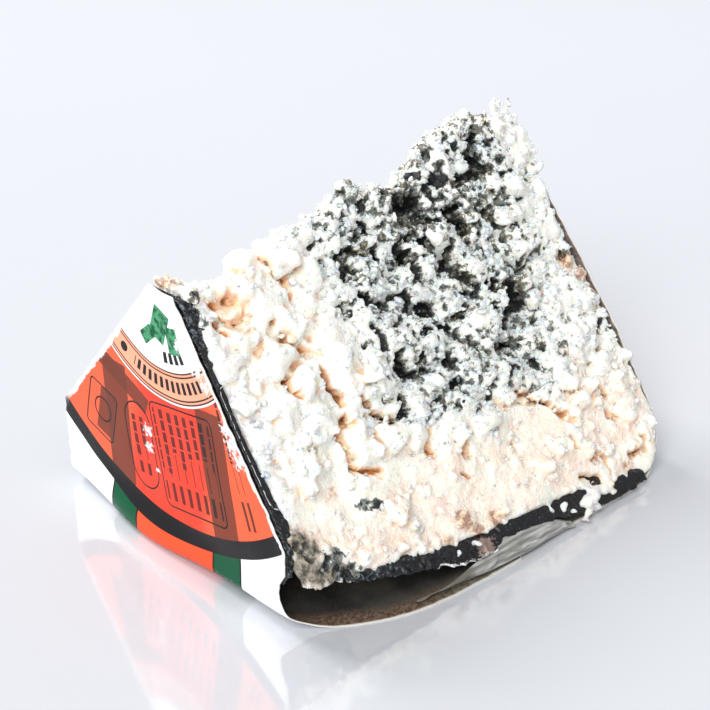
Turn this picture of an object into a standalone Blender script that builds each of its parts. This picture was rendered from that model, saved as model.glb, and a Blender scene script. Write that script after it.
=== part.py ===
"""Wedge of crumbly blue-veined cheese, standing on its rim in the printed wrapper of the whole wheel.

X runs along the wheel's axis, from the printed flat face (-X) to the far flat face (+X). The near
cut faces -Y and upward, the back cut faces +Y and upward, and the two meet in a ragged crest.
Depth means the distance from the printed face along X, and down means the distance down a cut.
All sizes are in metres.
"""
import math

import bmesh
import bpy
from mathutils import Vector, noise

# Wheel and wedge
THICKNESS = 0.1276            # of the wheel, from flat face to flat face
AXIS_HEIGHT = 0.0785          # of the wheel's axis above what the wedge stands on
NEAR_LEAN = math.tan(math.radians(36.7))   # how far the near cut runs out for each metre down
NEAR_OFFSET = 0.0053          # the near cut passes this far in front of the axis
BACK_FOOT = 0.0636            # where the back cut reaches the base
BACK_LEAN = math.tan(math.radians(39.0))

# Wrapper
SHEET = 0.0005                # thickness of the wrapper
PANEL_TOP = 0.0755            # highest point of the printed face
FRONT_RUN, FRONT_RISE = 0.013, 0.005       # rounding from the printed face to the base
FAR_RADIUS = 0.018            # rounding from the base to the far face
FAR_TILT = 0.115              # the far face leans back over the cheese by this slope
FAR_TOP = 0.070
CORNER_WIDTH = 0.0445         # half-width of the printed face near the base
BASE_WIDTH = 0.0636           # half-width of the base where it is widest
SPREAD_START, SPREAD_RUN, SPREAD_POWER = 0.003, 0.012, 1.3     # widening from the one to the other
FACE_BACK_LEAN, FACE_BACK_INSET = 0.84, 0.0007     # back edge of the printed face
FAR_BACK_LEAN = 0.58          # back edge of the far face
SAG_HEIGHT, SAG_SIZE = 0.0015, 0.008       # unevenness of the two torn top edges
FACE_ROWS, FRONT_ROWS, BASE_ROWS, HEEL_ROWS, FAR_ROWS = 9, 6, 12, 7, 9
SHEET_COLUMNS = 8

# Foil lining behind the printed face
LINING = 0.0008
LINING_GAP = 0.0004
LINING_FOOT = 0.013
LINING_DROP = 0.0012          # its top edge below the printed face's
LINING_ROWS, LINING_COLUMNS = 10, 6

# Cheese
CHEESE_START = 0.0022         # depth of the cheese's end behind the lining
WALL_GAP = 0.0012             # cheese to the outside of the wrapper, at the base and the far face
CLIMB_START = 0.003           # from this depth the crest climbs and the rim grows
CREST_LOW, CREST_RISE = 0.0765, 0.0140     # height of the crest at the printed end, and its climb
CREST_RUN, CREST_POWER = 0.120, 1.3
CREST_WIDTH, CREST_FALL = 0.0055, 0.0028   # of the blunt crest, from the near cut to the back cut
TIP_START, TIP_BLEND, TIP_REACH = 0.080, 0.007, 0.0045     # above the wrapper the far tip leans out
CREST_LUMPS = (               # depth, height and half-width of what stands out of the crest
    (0.010, -0.0030, 0.0050),
    (0.033, 0.0012, 0.0080),
    (0.060, 0.0022, 0.0035),
    (0.075, -0.0034, 0.0070),
)
CORNER_DOWN, CORNER_GROWTH = 0.0815, 0.0155    # length of the near cut, and its growth to the far end
CORNER_RUN, CORNER_POWER = 0.108, 1.1
SHOULDER_START, SHOULDER_RUN, SHOULDER_POWER = 0.001, 0.0090, 1.5  # rounding of the rim's end
SHOULDER_CUT = 0.0150         # taken off the near cut by that rounding
END_LIFT = 0.0075             # the rounded rim's height above the base at the printed end
RIM_FULLNESS = 3.5            # how squarely the rim turns from the base to the cuts

# Relief of the broken paste
SWELL_SIZE, SWELL_HEIGHT = 0.021, 0.0022
LUMP_SIZE, LUMP_HEIGHT = 0.0105, 0.0044
CRUMB_SIZE, CRUMB_HEIGHT = 0.0058, 0.0024
LUMP_LEVEL = 0.5              # distance from a lump's middle, in lump sizes, that is left where it is
SMOOTH_DOWN = 0.056           # below this the paste is closer
CLOSE_RELIEF = 0.45           # share of the relief left there
END_RELIEF = 0.3              # share of the relief left on the ends and the base
HOLLOWS = (                   # depth, down, half-width and pit of the mouldy hollows in the near cut
    (0.073, 0.0035, 0.0050, 0.0045),
    (0.088, 0.0090, 0.0060, 0.0060),
    (0.052, 0.0100, 0.0045, 0.0030),
    (0.066, 0.0180, 0.0045, 0.0035),
    (0.066, 0.0350, 0.0050, 0.0035),
    (0.098, 0.0230, 0.0050, 0.0050),
    (0.098, 0.0370, 0.0055, 0.0070),
    (0.092, 0.0470, 0.0050, 0.0055),
    (0.047, 0.0500, 0.0040, 0.0030),
)
ALONG, UP, ACROSS = 46, 36, 8              # cells of the cheese's surface

FACE_X = -THICKNESS / 2
EDGE = 0.001                  # shares this close to 0 or 1 lie on a side of the unit cube
FOLD_ANGLE = math.radians(50)  # sharper folds are shaded as edges


def mix(low, high, share):
    return low + (high - low) * share


def bump(distance, width):
    return math.exp(-(distance / width) ** 2)


def down_the_cut(height):
    """Distance down the near cut from the axis's height."""
    return (AXIS_HEIGHT - height) * math.hypot(1.0, NEAR_LEAN)


def material(name, colour, roughness, metallic):
    """Principled material in one colour."""
    finish = bpy.data.materials.new(name)
    finish.use_nodes = True
    shader = finish.node_tree.nodes["Principled BSDF"]
    shader.inputs["Base Color"].default_value = (*colour, 1.0)
    shader.inputs["Roughness"].default_value = roughness
    shader.inputs["Metallic"].default_value = metallic
    return finish


def finish_object(bm, name, collection, surface):
    """Turns a bmesh into a named object with its own material, shaded smooth except at sharp folds."""
    mesh = bpy.data.meshes.new(name)
    bm.to_mesh(mesh)
    bm.free()
    mesh.materials.append(surface)
    mesh.shade_smooth()
    mesh.set_sharp_from_angle(angle=FOLD_ANGLE)
    piece = bpy.data.objects.new(name, mesh)
    collection.objects.link(piece)
    return piece


def solidify(piece, thickness):
    """Gives an open sheet its thickness on the inner side."""
    shell = piece.modifiers.new("thickness", "SOLIDIFY")
    shell.thickness = thickness
    shell.offset = -1.0
    shell.use_even_offset = True


def face_outward(bm):
    """Turns a sheet over if its first face, on the printed side, looks into the cheese."""
    bmesh.ops.recalc_face_normals(bm, faces=bm.faces)
    bm.faces.ensure_lookup_table()
    if bm.faces[0].normal.x > 0:
        bmesh.ops.reverse_faces(bm, faces=bm.faces)


def far_depth(height, inset=0.0):
    """Depth of the far face at a height: a leaning flat above a round heel."""
    middle = THICKNESS - FAR_RADIUS
    if height >= FAR_RADIUS:
        return THICKNESS - inset - FAR_TILT * (height - FAR_RADIUS)
    reach = (FAR_RADIUS - inset) ** 2 - (FAR_RADIUS - height) ** 2
    return middle + math.sqrt(max(reach, 0.0))


def cheese_far(height):
    """Depth of the cheese's far end: inside the wrapper, and leaning out at the tip above it."""
    tip = min(max((height - TIP_START) / TIP_BLEND, 0.0), 1.0)
    return far_depth(height, WALL_GAP) + TIP_REACH * tip


def near_cut_y(height):
    return -NEAR_OFFSET - NEAR_LEAN * (AXIS_HEIGHT - height)


def near_cut_point(down):
    """Point of the near cut's plane, as y and z, a distance down from the axis's height."""
    drop = down / math.hypot(1.0, NEAR_LEAN)
    return near_cut_y(AXIS_HEIGHT - drop), AXIS_HEIGHT - drop


def crest_height(depth):
    share = max(depth - CLIMB_START, 0.0) / CREST_RUN
    height = CREST_LOW + CREST_RISE * share ** CREST_POWER
    for place, rise, width in CREST_LUMPS:
        height += rise * bump(depth - place, width)
    return height


def shoulder(depth):
    """1 at the printed end of the rim, where it is rounded off, falling to 0 further in."""
    run = max(depth - SHOULDER_START, 0.0) / SHOULDER_RUN
    return math.exp(-run ** SHOULDER_POWER)


def near_corner(depth):
    """Lower edge of the near cut: the old round rim, cut away towards the printed face."""
    share = min(max(depth - CLIMB_START, 0.0) / CORNER_RUN, 1.0)
    down = CORNER_DOWN + CORNER_GROWTH * share ** CORNER_POWER - SHOULDER_CUT * shoulder(depth)
    return near_cut_point(down)


def section(depth):
    """Crest and lower edge of both cuts at a depth, each as y and z."""
    top = crest_height(depth)
    near_top = (near_cut_y(top), top)
    back_top = (near_top[0] + CREST_WIDTH, top - CREST_FALL)
    near_low = near_corner(depth)
    back_low = (BACK_FOOT - BACK_LEAN * near_low[1], near_low[1])
    return near_top, near_low, back_top, back_low


def cheese_point(along, across, up):
    """Point of the cheese for three shares: printed end to far end, near to back, base to crest."""
    nominal = mix(CHEESE_START, THICKNESS - WALL_GAP, along)
    near_top, near_low, back_top, back_low = section(nominal)
    near = [mix(near_low[i], near_top[i], up) for i in (0, 1)]
    back = [mix(back_low[i], back_top[i], up) for i in (0, 1)]
    y = mix(near[0], back[0], across)
    z = mix(near[1], back[1], across)
    middle = min(WALL_GAP + END_LIFT * shoulder(nominal), near_low[1])
    belly = (near_low[1] - middle) * (1.0 - abs(2.0 * across - 1.0) ** RIM_FULLNESS)
    z -= belly * (1.0 - up) ** 2
    depth = mix(CHEESE_START, cheese_far(z), along)
    return Vector((FACE_X + depth, y, max(z, WALL_GAP)))


def crumbs(point):
    """Height of the broken surface: broad swells, and two sizes of lumps that meet in creases."""
    height = noise.noise(point / SWELL_SIZE) * SWELL_HEIGHT
    closeness = CLOSE_RELIEF if down_the_cut(point.z) > SMOOTH_DOWN else 1.0
    for size, rise in ((LUMP_SIZE, LUMP_HEIGHT), (CRUMB_SIZE, CRUMB_HEIGHT)):
        nearest = noise.voronoi(point / size)[0][0]
        height += (LUMP_LEVEL - nearest) * rise * closeness
    return height


def hollows(point):
    """Depth of the mouldy pits at a point of the near cut."""
    depth = point.x - FACE_X
    down = down_the_cut(point.z)
    pit = 0.0
    for place, level, width, deep in HOLLOWS:
        pit = max(pit, deep * bump(math.hypot(depth - place, down - level), width))
    return pit


def cube_grid(cells_x, cells_y, cells_z):
    """Cube from 0 to 1 with its faces cut into a grid, all quads."""
    bm = bmesh.new()
    bmesh.ops.create_cube(bm, size=1.0)
    bmesh.ops.translate(bm, verts=bm.verts, vec=(0.5, 0.5, 0.5))
    for axis, cells in enumerate((cells_x, cells_y, cells_z)):
        parallel = [e for e in bm.edges if abs(e.verts[0].co[axis] - e.verts[1].co[axis]) > 0.5]
        bmesh.ops.subdivide_edges(bm, edges=parallel, cuts=cells - 1, use_grid_fill=True)
    return bm


def keep_inside(point):
    """Holds a point of the cheese clear of the wrapper and the lining."""
    point.z = max(point.z, WALL_GAP)
    farthest = FACE_X + cheese_far(point.z)
    point.x = min(max(point.x, FACE_X + CHEESE_START), farthest)
    return point


def add_cheese(collection):
    """One solid: the wedge's form, with the crumbs and hollows of both cuts as relief."""
    bm = cube_grid(ALONG, ACROSS, UP)
    shares = {}
    for vert in bm.verts:
        shares[vert.index] = vert.co.copy()
        vert.co = cheese_point(*vert.co)
    bm.normal_update()
    moves = {}
    for vert in bm.verts:
        along, across, up = shares[vert.index]
        height = crumbs(vert.co)
        if across < EDGE:
            height -= hollows(vert.co)
        if along < EDGE or along > 1.0 - EDGE or up < EDGE:
            height *= END_RELIEF
        moves[vert.index] = vert.normal * height
    for vert in bm.verts:
        vert.co = keep_inside(vert.co + moves[vert.index])
    bmesh.ops.triangulate(bm, faces=bm.faces)
    paste = material("cheese_paste", (0.86, 0.76, 0.62), 0.65, 0.0)
    return finish_object(bm, "cheese", collection, paste)


def wrapper_path():
    """Outer line of the wrapper, as depth and height, down the face, under the base and up behind."""
    heel = THICKNESS - FAR_RADIUS
    path = []
    for i in range(FACE_ROWS):
        path.append((0.0, mix(PANEL_TOP, FRONT_RISE, i / FACE_ROWS)))
    for i in range(FRONT_ROWS):
        turn = math.radians(90) * i / FRONT_ROWS
        path.append((FRONT_RUN * (1.0 - math.cos(turn)), FRONT_RISE * (1.0 - math.sin(turn))))
    for i in range(BASE_ROWS):
        path.append((mix(FRONT_RUN, heel, i / BASE_ROWS), 0.0))
    for i in range(HEEL_ROWS):
        turn = math.radians(90) * i / HEEL_ROWS
        path.append((heel + FAR_RADIUS * math.sin(turn), FAR_RADIUS * (1.0 - math.cos(turn))))
    for i in range(FAR_ROWS + 1):
        height = mix(FAR_RADIUS, FAR_TOP, i / FAR_ROWS)
        path.append((far_depth(height), height))
    return path


def spread(depth):
    """Half-width of the base at a depth: narrow at the printed face, then as wide as the cuts."""
    run = max(depth - SPREAD_START, 0.0) / SPREAD_RUN
    return mix(CORNER_WIDTH, BASE_WIDTH, 1.0 - math.exp(-run ** SPREAD_POWER))


def wrapper_sides(depth, height):
    """Near and back edge of the wrapper, as y, at a point of its path."""
    near_line = -near_cut_y(height)
    if depth > THICKNESS / 2:
        back_line = BACK_FOOT - FAR_BACK_LEAN * height
        return -min(near_line, BASE_WIDTH), min(back_line, BASE_WIDTH)
    limit = spread(depth)
    back_line = FACE_BACK_LEAN * (AXIS_HEIGHT - height) - FACE_BACK_INSET
    return -min(near_line, limit), min(back_line, limit)


def add_wrapper(collection):
    """Printed wrapper: one sheet that runs down the face, under the base and up the far face."""
    path = wrapper_path()
    last = len(path) - 1
    bm = bmesh.new()
    bmesh.ops.create_grid(bm, x_segments=SHEET_COLUMNS, y_segments=last, size=0.5)
    for vert in bm.verts:
        row = round((vert.co.y + 0.5) * last)
        depth, height = path[row]
        near, back = wrapper_sides(depth, height)
        y = mix(near, back, vert.co.x + 0.5)
        if row in (0, last):
            height += SAG_HEIGHT * noise.noise(Vector((depth, y, 0.0)) / SAG_SIZE)
        vert.co = Vector((FACE_X + depth, y, height))
    face_outward(bm)
    print_side = material("wrapper_print", (0.78, 0.20, 0.10), 0.4, 0.0)
    wrapper = finish_object(bm, "wrapper", collection, print_side)
    solidify(wrapper, SHEET)
    return wrapper


def add_lining(collection):
    """Dark foil between the printed face and the cheese's end."""
    bm = bmesh.new()
    bmesh.ops.create_grid(bm, x_segments=LINING_COLUMNS, y_segments=LINING_ROWS, size=0.5)
    depth = SHEET + LINING_GAP
    for vert in bm.verts:
        height = mix(LINING_FOOT, PANEL_TOP - LINING_DROP, vert.co.y + 0.5)
        near, back = wrapper_sides(0.0, height)
        vert.co = Vector((FACE_X + depth, mix(near, back, vert.co.x + 0.5), height))
    face_outward(bm)
    foil = material("dark_foil", (0.03, 0.03, 0.035), 0.35, 0.7)
    lining = finish_object(bm, "foil_lining", collection, foil)
    solidify(lining, LINING)
    return lining


def main():
    for old in list(bpy.data.objects):
        bpy.data.objects.remove(old, do_unlink=True)
    collection = bpy.data.collections.new("cheese_wedge")
    bpy.context.scene.collection.children.link(collection)
    add_cheese(collection)
    add_wrapper(collection)
    add_lining(collection)


main()
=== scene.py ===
"""Wedge of crumbly blue-veined cheese in its printed wrapper, dressed over the part's solids.

X runs along the wheel's axis, from the printed face (-X) to the far face (+X). The near cut faces
-Y and upward, the back cut +Y and upward. Depth means the distance from the printed face along X,
and down means the distance down a cut from the axis's height. All sizes are in metres.
"""
import math

import bmesh
import bpy
import numpy as np
from bpy.props import FloatProperty, FloatVectorProperty, IntProperty, PointerProperty
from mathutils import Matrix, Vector, noise
from mathutils.bvhtree import BVHTree


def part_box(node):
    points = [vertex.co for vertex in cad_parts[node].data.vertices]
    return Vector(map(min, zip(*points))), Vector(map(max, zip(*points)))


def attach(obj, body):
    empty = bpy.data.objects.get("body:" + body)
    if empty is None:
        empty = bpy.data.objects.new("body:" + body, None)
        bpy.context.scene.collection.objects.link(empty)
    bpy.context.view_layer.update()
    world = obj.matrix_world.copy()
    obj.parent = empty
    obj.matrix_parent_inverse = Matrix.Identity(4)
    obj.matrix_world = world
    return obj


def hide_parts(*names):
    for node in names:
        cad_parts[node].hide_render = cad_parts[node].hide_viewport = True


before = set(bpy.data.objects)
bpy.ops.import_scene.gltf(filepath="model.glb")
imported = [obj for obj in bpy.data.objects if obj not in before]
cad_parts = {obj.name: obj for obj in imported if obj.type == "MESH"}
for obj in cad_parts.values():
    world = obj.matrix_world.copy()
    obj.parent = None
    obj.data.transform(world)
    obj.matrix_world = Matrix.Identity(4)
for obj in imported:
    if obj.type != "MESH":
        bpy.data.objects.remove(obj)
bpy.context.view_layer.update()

bl_info = {
    "name": "Blue cheese wedge",
    "version": (1, 0, 0),
    "blender": (4, 5, 0),
    "location": "View3D > Sidebar > Cheese",
    "description": "A crumbly wedge of blue cheese in its printed wrapper",
    "category": "Add Mesh",
}

MM = 0.001

# Wheel and wedge
SHELL_LOW, SHELL_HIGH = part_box("wrapper")
FACE_X = SHELL_LOW.x
THICKNESS = SHELL_HIGH.x - SHELL_LOW.x
BASE_WIDTH = SHELL_HIGH.y     # half-width of the base
AXIS_HEIGHT = 0.0785          # of the wheel's axis above what the wedge stands on
CUT_ANGLE = math.radians(36.7)             # of the near cut, from straight down
NEAR_LEAN = math.tan(CUT_ANGLE)
NEAR_OFFSET = 0.0053          # the near cut passes this far in front of the axis
BACK_LEAN = math.tan(math.radians(39.0))

# Wrapper
SHEET, SHEET_SHOWN = 0.0005, 0.0003         # the solid's thickness, and the one that shows
PANEL_TOP = 0.0755
FRONT_RUN, FRONT_RISE = 0.013, 0.005       # rounding from the printed face to the base
FAR_RADIUS = 0.018            # rounding from the base to the far face
FAR_TILT = 0.115              # the far face leans back over the cheese by this slope
FAR_TOP = 0.070
CORNER_WIDTH = 0.0440         # half-width of the printed face near the base
CORNER_FLARE = 0.0024         # its near edge stands out by this further up
SPREAD_START, SPREAD_RUN, SPREAD_POWER = 0.003, 0.012, 1.3     # how the base widens from there, at the back
NEAR_RUN, NEAR_POWER = 0.019, 1.55                             # and at the near side
NEAR_FOOT = 0.0475            # half-width of the printed face's near corner at its foot
NEAR_FOOT_LOW, NEAR_FOOT_HIGH = 0.0020, 0.0085     # heights between which it widens
FACE_BACK_LEAN, FACE_BACK_INSET = 0.84, 0.0007
FAR_BACK_LEAN = 0.58
SAG_HEIGHT, SAG_SIZE = 0.0015, 0.008
TEAR = 0.0007                 # raggedness of the torn edges
FAR_PROUD, FAR_INSET = 0.0012, 0.0015      # the far face's edge stands past the near cut above, short below
CURL_RISE = 0.0012            # the near corner of the printed face curls up by this
FOOT_MIDDLE, FOOT_WIDTH = 0.008, 0.022     # y and spread of where the printed face's foot stands out
FOOT_PROUD, FOOT_HEIGHT = 0.0024, 0.013    # by this, up to this height
FOOT_RUN, FOOT_RISE = 0.0025, 0.0022       # its tighter rounding there
FACE_ROWS, FRONT_ROWS, BASE_ROWS, HEEL_ROWS, FAR_ROWS = 72, 16, 80, 24, 46
SHEET_COLUMNS = 96

# Print, as places on the unrolled sheet in mm: across, and up from the axis
DISC = 0.072                  # radius of the printed disc
RIM_BANDS = ((-24.0, -15.0, "green"), (-15.0, 9.0, "band"), (9.0, 18.0, "green"))     # degrees
RIM_LINE = 0.55               # degrees of black line beside them
FIELD_END, RING_START, RING_END, CENTRE_END = 0.933, 0.463, 0.456, 0.341     # shares of the disc's radius
RING_LINES, RING_LINE = (0.344, 0.357, 0.440, 0.453), 0.0030                 # and half their width
PRINT_EDGE = 0.0016           # half the softness of the rings' edges
RING_STOP = (14.0, -24.8)     # round mark in the ring
RING_BLOCKS = (4.6, (0.2, 0.75), (0.374, 0.417), (-38.0, 20.0), 0.2)         # pitch in degrees, share filled,
CENTRE_BLOCKS = (6.0, (0.15, 0.8), (0.272, 0.312), (-30.0, -6.0), 0.3)       # radii, sweep and its softness
RED_GLOW = ((-3.0, -48.0), (16.0, 24.0), 12.0, 9.0)       # a box, as the printed ones below
TABLE, TABLE_ANGLE = (-10.2, -47.8), -11.7
PRINTED_BOXES = (             # middle, half sizes, angle and corner radius
    (TABLE, (12.6, 14.3), TABLE_ANGLE, 2.0),
    ((9.3, -51.5), (5.5, 12.0), -9.0, 5.4),
    ((26.5, -48.8), (5.8, 7.6), 14.0, 1.2),
    ((26.0, -48.4), (3.4, 3.4), 14.0, 3.3),
)
PRINTED_LINES = (             # middle, half sizes, angle, pitch, and share of the height that bars fill
    (TABLE, (11.6, 13.0), TABLE_ANGLE, 3.3, 1.1),
    ((9.3, -51.5), (3.4, 8.6), -9.0, 3.4, 1.3),
    ((-28.5, -38.0), (2.2, 19.0), -21.0, 2.2, 1.0),
)
BROWN_BANDS = (               # middle, half sizes and angle
    ((18.9, -48.5), (5.1, 17.5), -2.2), ((16.0, -35.0), (11.0, 2.6), 20.7),
    ((-21.9, -46.6), (5.0, 17.8), -10.0), ((24.4, -48.8), (3.4, 7.0), 14.0),
)
LOZENGES = (((-1.5, -12.6), 3.0, 20.0), ((-6.6, -15.2), 2.3, -14.0), ((3.4, -17.0), 1.8, 48.0))
SCUFFS = (                    # middle and radius
    ((6.0, -45.5), 2.8), ((6.0, -50.5), 2.4), ((3.0, -56.0), 1.2), ((-26.4, -30.6), 3.4),
    ((-28.0, -34.0), 3.6), ((-30.4, -37.4), 3.2), ((-16.0, -19.6), 3.0), ((-18.6, -22.4), 2.8),
    ((-8.5, -15.5), 2.2),
)

# Foil
LINING, LINING_GAP, LINING_FOOT, LINING_DROP = 0.0008, 0.0004, 0.013, 0.0012
LINING_FOLD = (               # height, and thickness at the near edge, in mm
    (13.0, 0.9), (24.0, 1.2), (27.0, 3.4), (34.0, 2.4), (47.0, 1.5), (60.0, 1.9), (68.0, 3.6), (76.0, 3.0),
)
FOIL_PROUD = 0.0004
FOIL_BAND = (                 # depth, then its upper and lower edge as down the near cut, in mm
    (4.0, 66.0, 70.5), (10.5, 74.0, 79.0), (15.0, 79.0, 82.5), (24.3, 81.0, 85.3), (30.0, 81.5, 87.0),
    (40.2, 83.5, 89.4), (45.1, 84.5, 91.4), (50.3, 85.3, 92.5), (57.7, 86.0, 92.2), (60.1, 86.3, 90.6),
    (71.8, 86.8, 91.6), (80.5, 87.2, 93.3), (87.3, 87.4, 95.4), (94.7, 88.5, 95.8), (102.1, 90.0, 96.2),
    (107.6, 91.5, 96.1), (113.5, 93.5, 95.6),
)
FOIL_TUCK, FOIL_FLARE, FOIL_CRUMPLE = 0.0040, 0.0006, 0.0010
FOIL_CLEAR = 0.0004           # the band and the film stay above the wrapper by this
LINING_CELLS, BAND_CELLS, FILM_CELLS = (8, 60, 190), (300, 14), (160, 24)
BAND_SHOWN, FILM_SHOWN = 0.0003, 0.0002    # thickness
FILM = (                      # depth, y of its lower edge, and down the near cut of its upper edge, in mm
    (31.0, -58.9, 90.5), (42.4, -60.6, 91.5), (52.8, -62.3, 92.6), (60.0, -62.9, 90.2),
    (66.8, -63.3, 91.0), (76.0, -63.0, 92.4), (84.0, -62.4, 94.4),
)

# Cheese
CHEESE_START = 0.0022
WALL_GAP = 0.0012
CREST_WIDTH, CREST_FALL = 0.0055, 0.0028
TIP_START, TIP_BLEND, TIP_REACH = 0.0712, 0.003, 0.0044
CREST = (                     # depth, and down the near cut, of the crest below its lumps, in mm
    (0.0, 5.0), (5.0, 5.6), (10.0, 5.8), (14.0, 5.2), (17.0, 5.0), (23.0, 4.2), (29.0, 4.6), (34.0, 1.8),
    (43.0, 0.8), (54.0, -0.8), (58.5, -3.6), (63.0, -2.2), (82.0, -0.6), (85.5, -3.4), (92.0, -5.6),
    (97.0, -7.6), (104.0, -10.2), (109.0, -9.4), (114.0, -8.8), (119.0, -8.4), (125.0, -7.0),
)
LOWER_EDGE = (                # depth, and down the near cut, of the paste's lower edge, in mm
    (0.0, 66.0), (3.0, 68.0), (8.0, 74.5), (15.0, 80.5), (25.0, 82.2), (31.0, 82.4), (37.0, 84.4),
    (48.0, 86.0), (61.5, 87.3), (76.0, 88.0), (91.5, 88.8), (104.4, 92.0), (113.0, 94.0), (125.0, 95.0),
)
SHOULDER_START, SHOULDER_RUN, SHOULDER_POWER = 0.001, 0.0090, 1.5
END_LIFT = 0.0075
RIM_FULLNESS = 3.5
CORNER_ROUND, CORNER_SPAN = 0.0016, 0.002  # the corner beside the foil is rounded back by this, over that

# Mould, as depth and down in mm
MOULD_START, MOULD_FULL = (25.0, 37.0), 51.0          # depth where it starts, at the crest and further down
MOULD_LOW = (50.0, 66.0)      # it fades out between these on the way down
MOULD_FAR, MOULD_FAR_LOSS = (104.0, 120.0), 0.70      # and by this share towards the far face
MOULD_SHIFT = (8.0, 26.0)     # its start moves between these on the way down
MOULD_SLOPES = (0.03, 0.08, 0.20)          # of its left, low and far borders

# Relief of the broken paste
SWELL_SIZE, SWELL_HEIGHT = 0.021, 0.0022
LUMP_SIZE, LUMP_HEIGHT = 0.0105, 0.0044
CRUMB_SIZE, CRUMB_HEIGHT = 0.0058, 0.0024
LUMP_LEVEL = 0.5
SMOOTH_DOWN, SMOOTH_BLEND = 0.056, 0.006   # the paste is closer from here down
CLOSE_RELIEF, END_RELIEF = 0.45, 0.3       # shares of the relief there, and on the ends and the base
RAGGED = ((0.0050, 1.1), (0.0018, 0.7))    # size, and reach in mm, of the waves in the lines below
HOLLOWS = (                   # half-width, depth, then corners as depth and down: the near cut's pits, in mm
    (4.6, 8.0, ((73.5, 2.5), (77.5, 4.5))),
    (2.6, 5.0, ((71.5, 4.0), (73.5, 6.5))),
    (2.1, 6.5, ((87.9, 8.7), (88.7, 14.4))),
    (3.3, 8.0, ((101.5, -4.0), (102.5, 1.0))),
    (1.7, 5.5, ((91.5, 1.6), (96.0, 1.0), (100.0, 2.6))),
    (1.8, 5.5, ((51.6, 8.5), (48.7, 10.3), (50.8, 13.7), (48.4, 15.1))),
    (1.4, 5.0, ((50.8, 19.9), (51.2, 23.0), (54.7, 25.3), (64.3, 25.3))),
    (2.0, 6.0, ((69.0, 16.3), (69.9, 22.2))),
    (2.1, 7.5, ((69.7, 32.1), (69.1, 38.3))),
    (3.4, 8.0, ((96.8, 33.9), (96.9, 37.7), (98.5, 40.9))),
    (3.1, 8.5, ((92.3, 41.6), (92.0, 46.1), (91.0, 49.6))),
    (1.9, 5.0, ((104.5, 26.6), (104.2, 30.6))),
    (2.8, 4.0, ((82.3, 25.1), (84.5, 30.4))),
    (2.1, 5.5, ((52.7, 37.7), (53.0, 42.7), (56.5, 44.0))),
    (1.3, 4.0, ((49.3, 28.9), (49.2, 32.6))),
    (1.6, 4.5, ((84.0, 48.4), (87.5, 49.0))),
    (1.8, 2.6, ((73.3, 39.2), (77.2, 42.0))),
    (1.6, 3.5, ((66.5, 43.8), (67.8, 45.9))),
    (1.2, 3.2, ((64.6, 28.7), (65.3, 31.2))),
    (1.2, 3.2, ((91.0, 31.4), (93.7, 30.0))),
    (1.0, 3.0, ((85.7, -0.5), (87.0, 1.1))),
)
CRACKS = (                    # the same, for the clefts in the cream
    (1.3, 3.2, ((115.4, 7.0), (116.6, 8.6))),
    (1.0, 2.0, ((27.5, 2.7), (29.2, 6.8), (31.6, 9.7), (31.1, 15.2))),
    (4.6, 3.2, ((13.2, 9.0), (14.5, 13.0))),
    (1.3, 4.0, ((14.0, 8.0), (14.6, 9.4))),
    (1.1, 4.0, ((7.5, 13.0), (9.4, 14.5))),
    (1.4, 2.6, ((25.1, 21.1), (25.8, 25.4), (28.7, 28.0))),
    (1.1, 4.5, ((18.5, 31.4), (20.2, 33.9))),
    (1.2, 4.0, ((29.6, 32.8), (29.4, 36.0), (30.4, 37.9), (32.0, 41.0))),
    (1.2, 4.5, ((36.5, 41.8), (38.3, 45.2))),
    (2.3, 6.5, ((49.0, 48.6), (47.6, 50.2))),
    (0.8, 3.5, ((38.5, 46.5), (41.0, 49.6), (45.4, 51.3))),
    (1.1, 3.4, (
        (31.8, 45.3), (27.6, 47.8), (27.6, 50.6), (28.6, 54.2), (27.5, 58.2), (30.6, 59.8), (35.0, 62.3),
    )),
    (1.3, 2.2, ((37.0, 53.2), (37.5, 54.6))),
    (1.0, 3.5, ((51.3, 63.6), (52.0, 64.4))),
    (1.5, 2.4, ((61.8, 63.0), (61.3, 68.0))),
    (0.9, 1.8, ((52.9, 57.8), (51.9, 61.6))),
    (0.6, 2.2, ((76.1, 70.3), (76.0, 73.0))),
    (0.8, 2.2, ((93.4, 76.0), (94.4, 77.8))),
    (0.7, 2.6, ((86.0, 61.8), (89.0, 63.2), (92.5, 66.4))),
    (1.4, 2.2, ((94.4, 67.8), (97.7, 71.8))),
    (0.9, 3.0, ((111.2, 66.2), (112.8, 70.5))),
    (0.7, 1.8, ((98.0, 83.4), (100.9, 82.6), (103.4, 85.4), (102.5, 88.4))),
    (1.2, 3.6, ((119.2, 84.5), (117.8, 87.6), (112.5, 88.6))),
    (1.0, 2.0, ((111.0, 75.6), (112.0, 77.6))),
    (0.7, 2.2, ((57.6, 71.4), (58.8, 72.8))),
    (1.2, 1.6, ((92.6, 87.0), (98.5, 89.6))),
)
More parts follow.
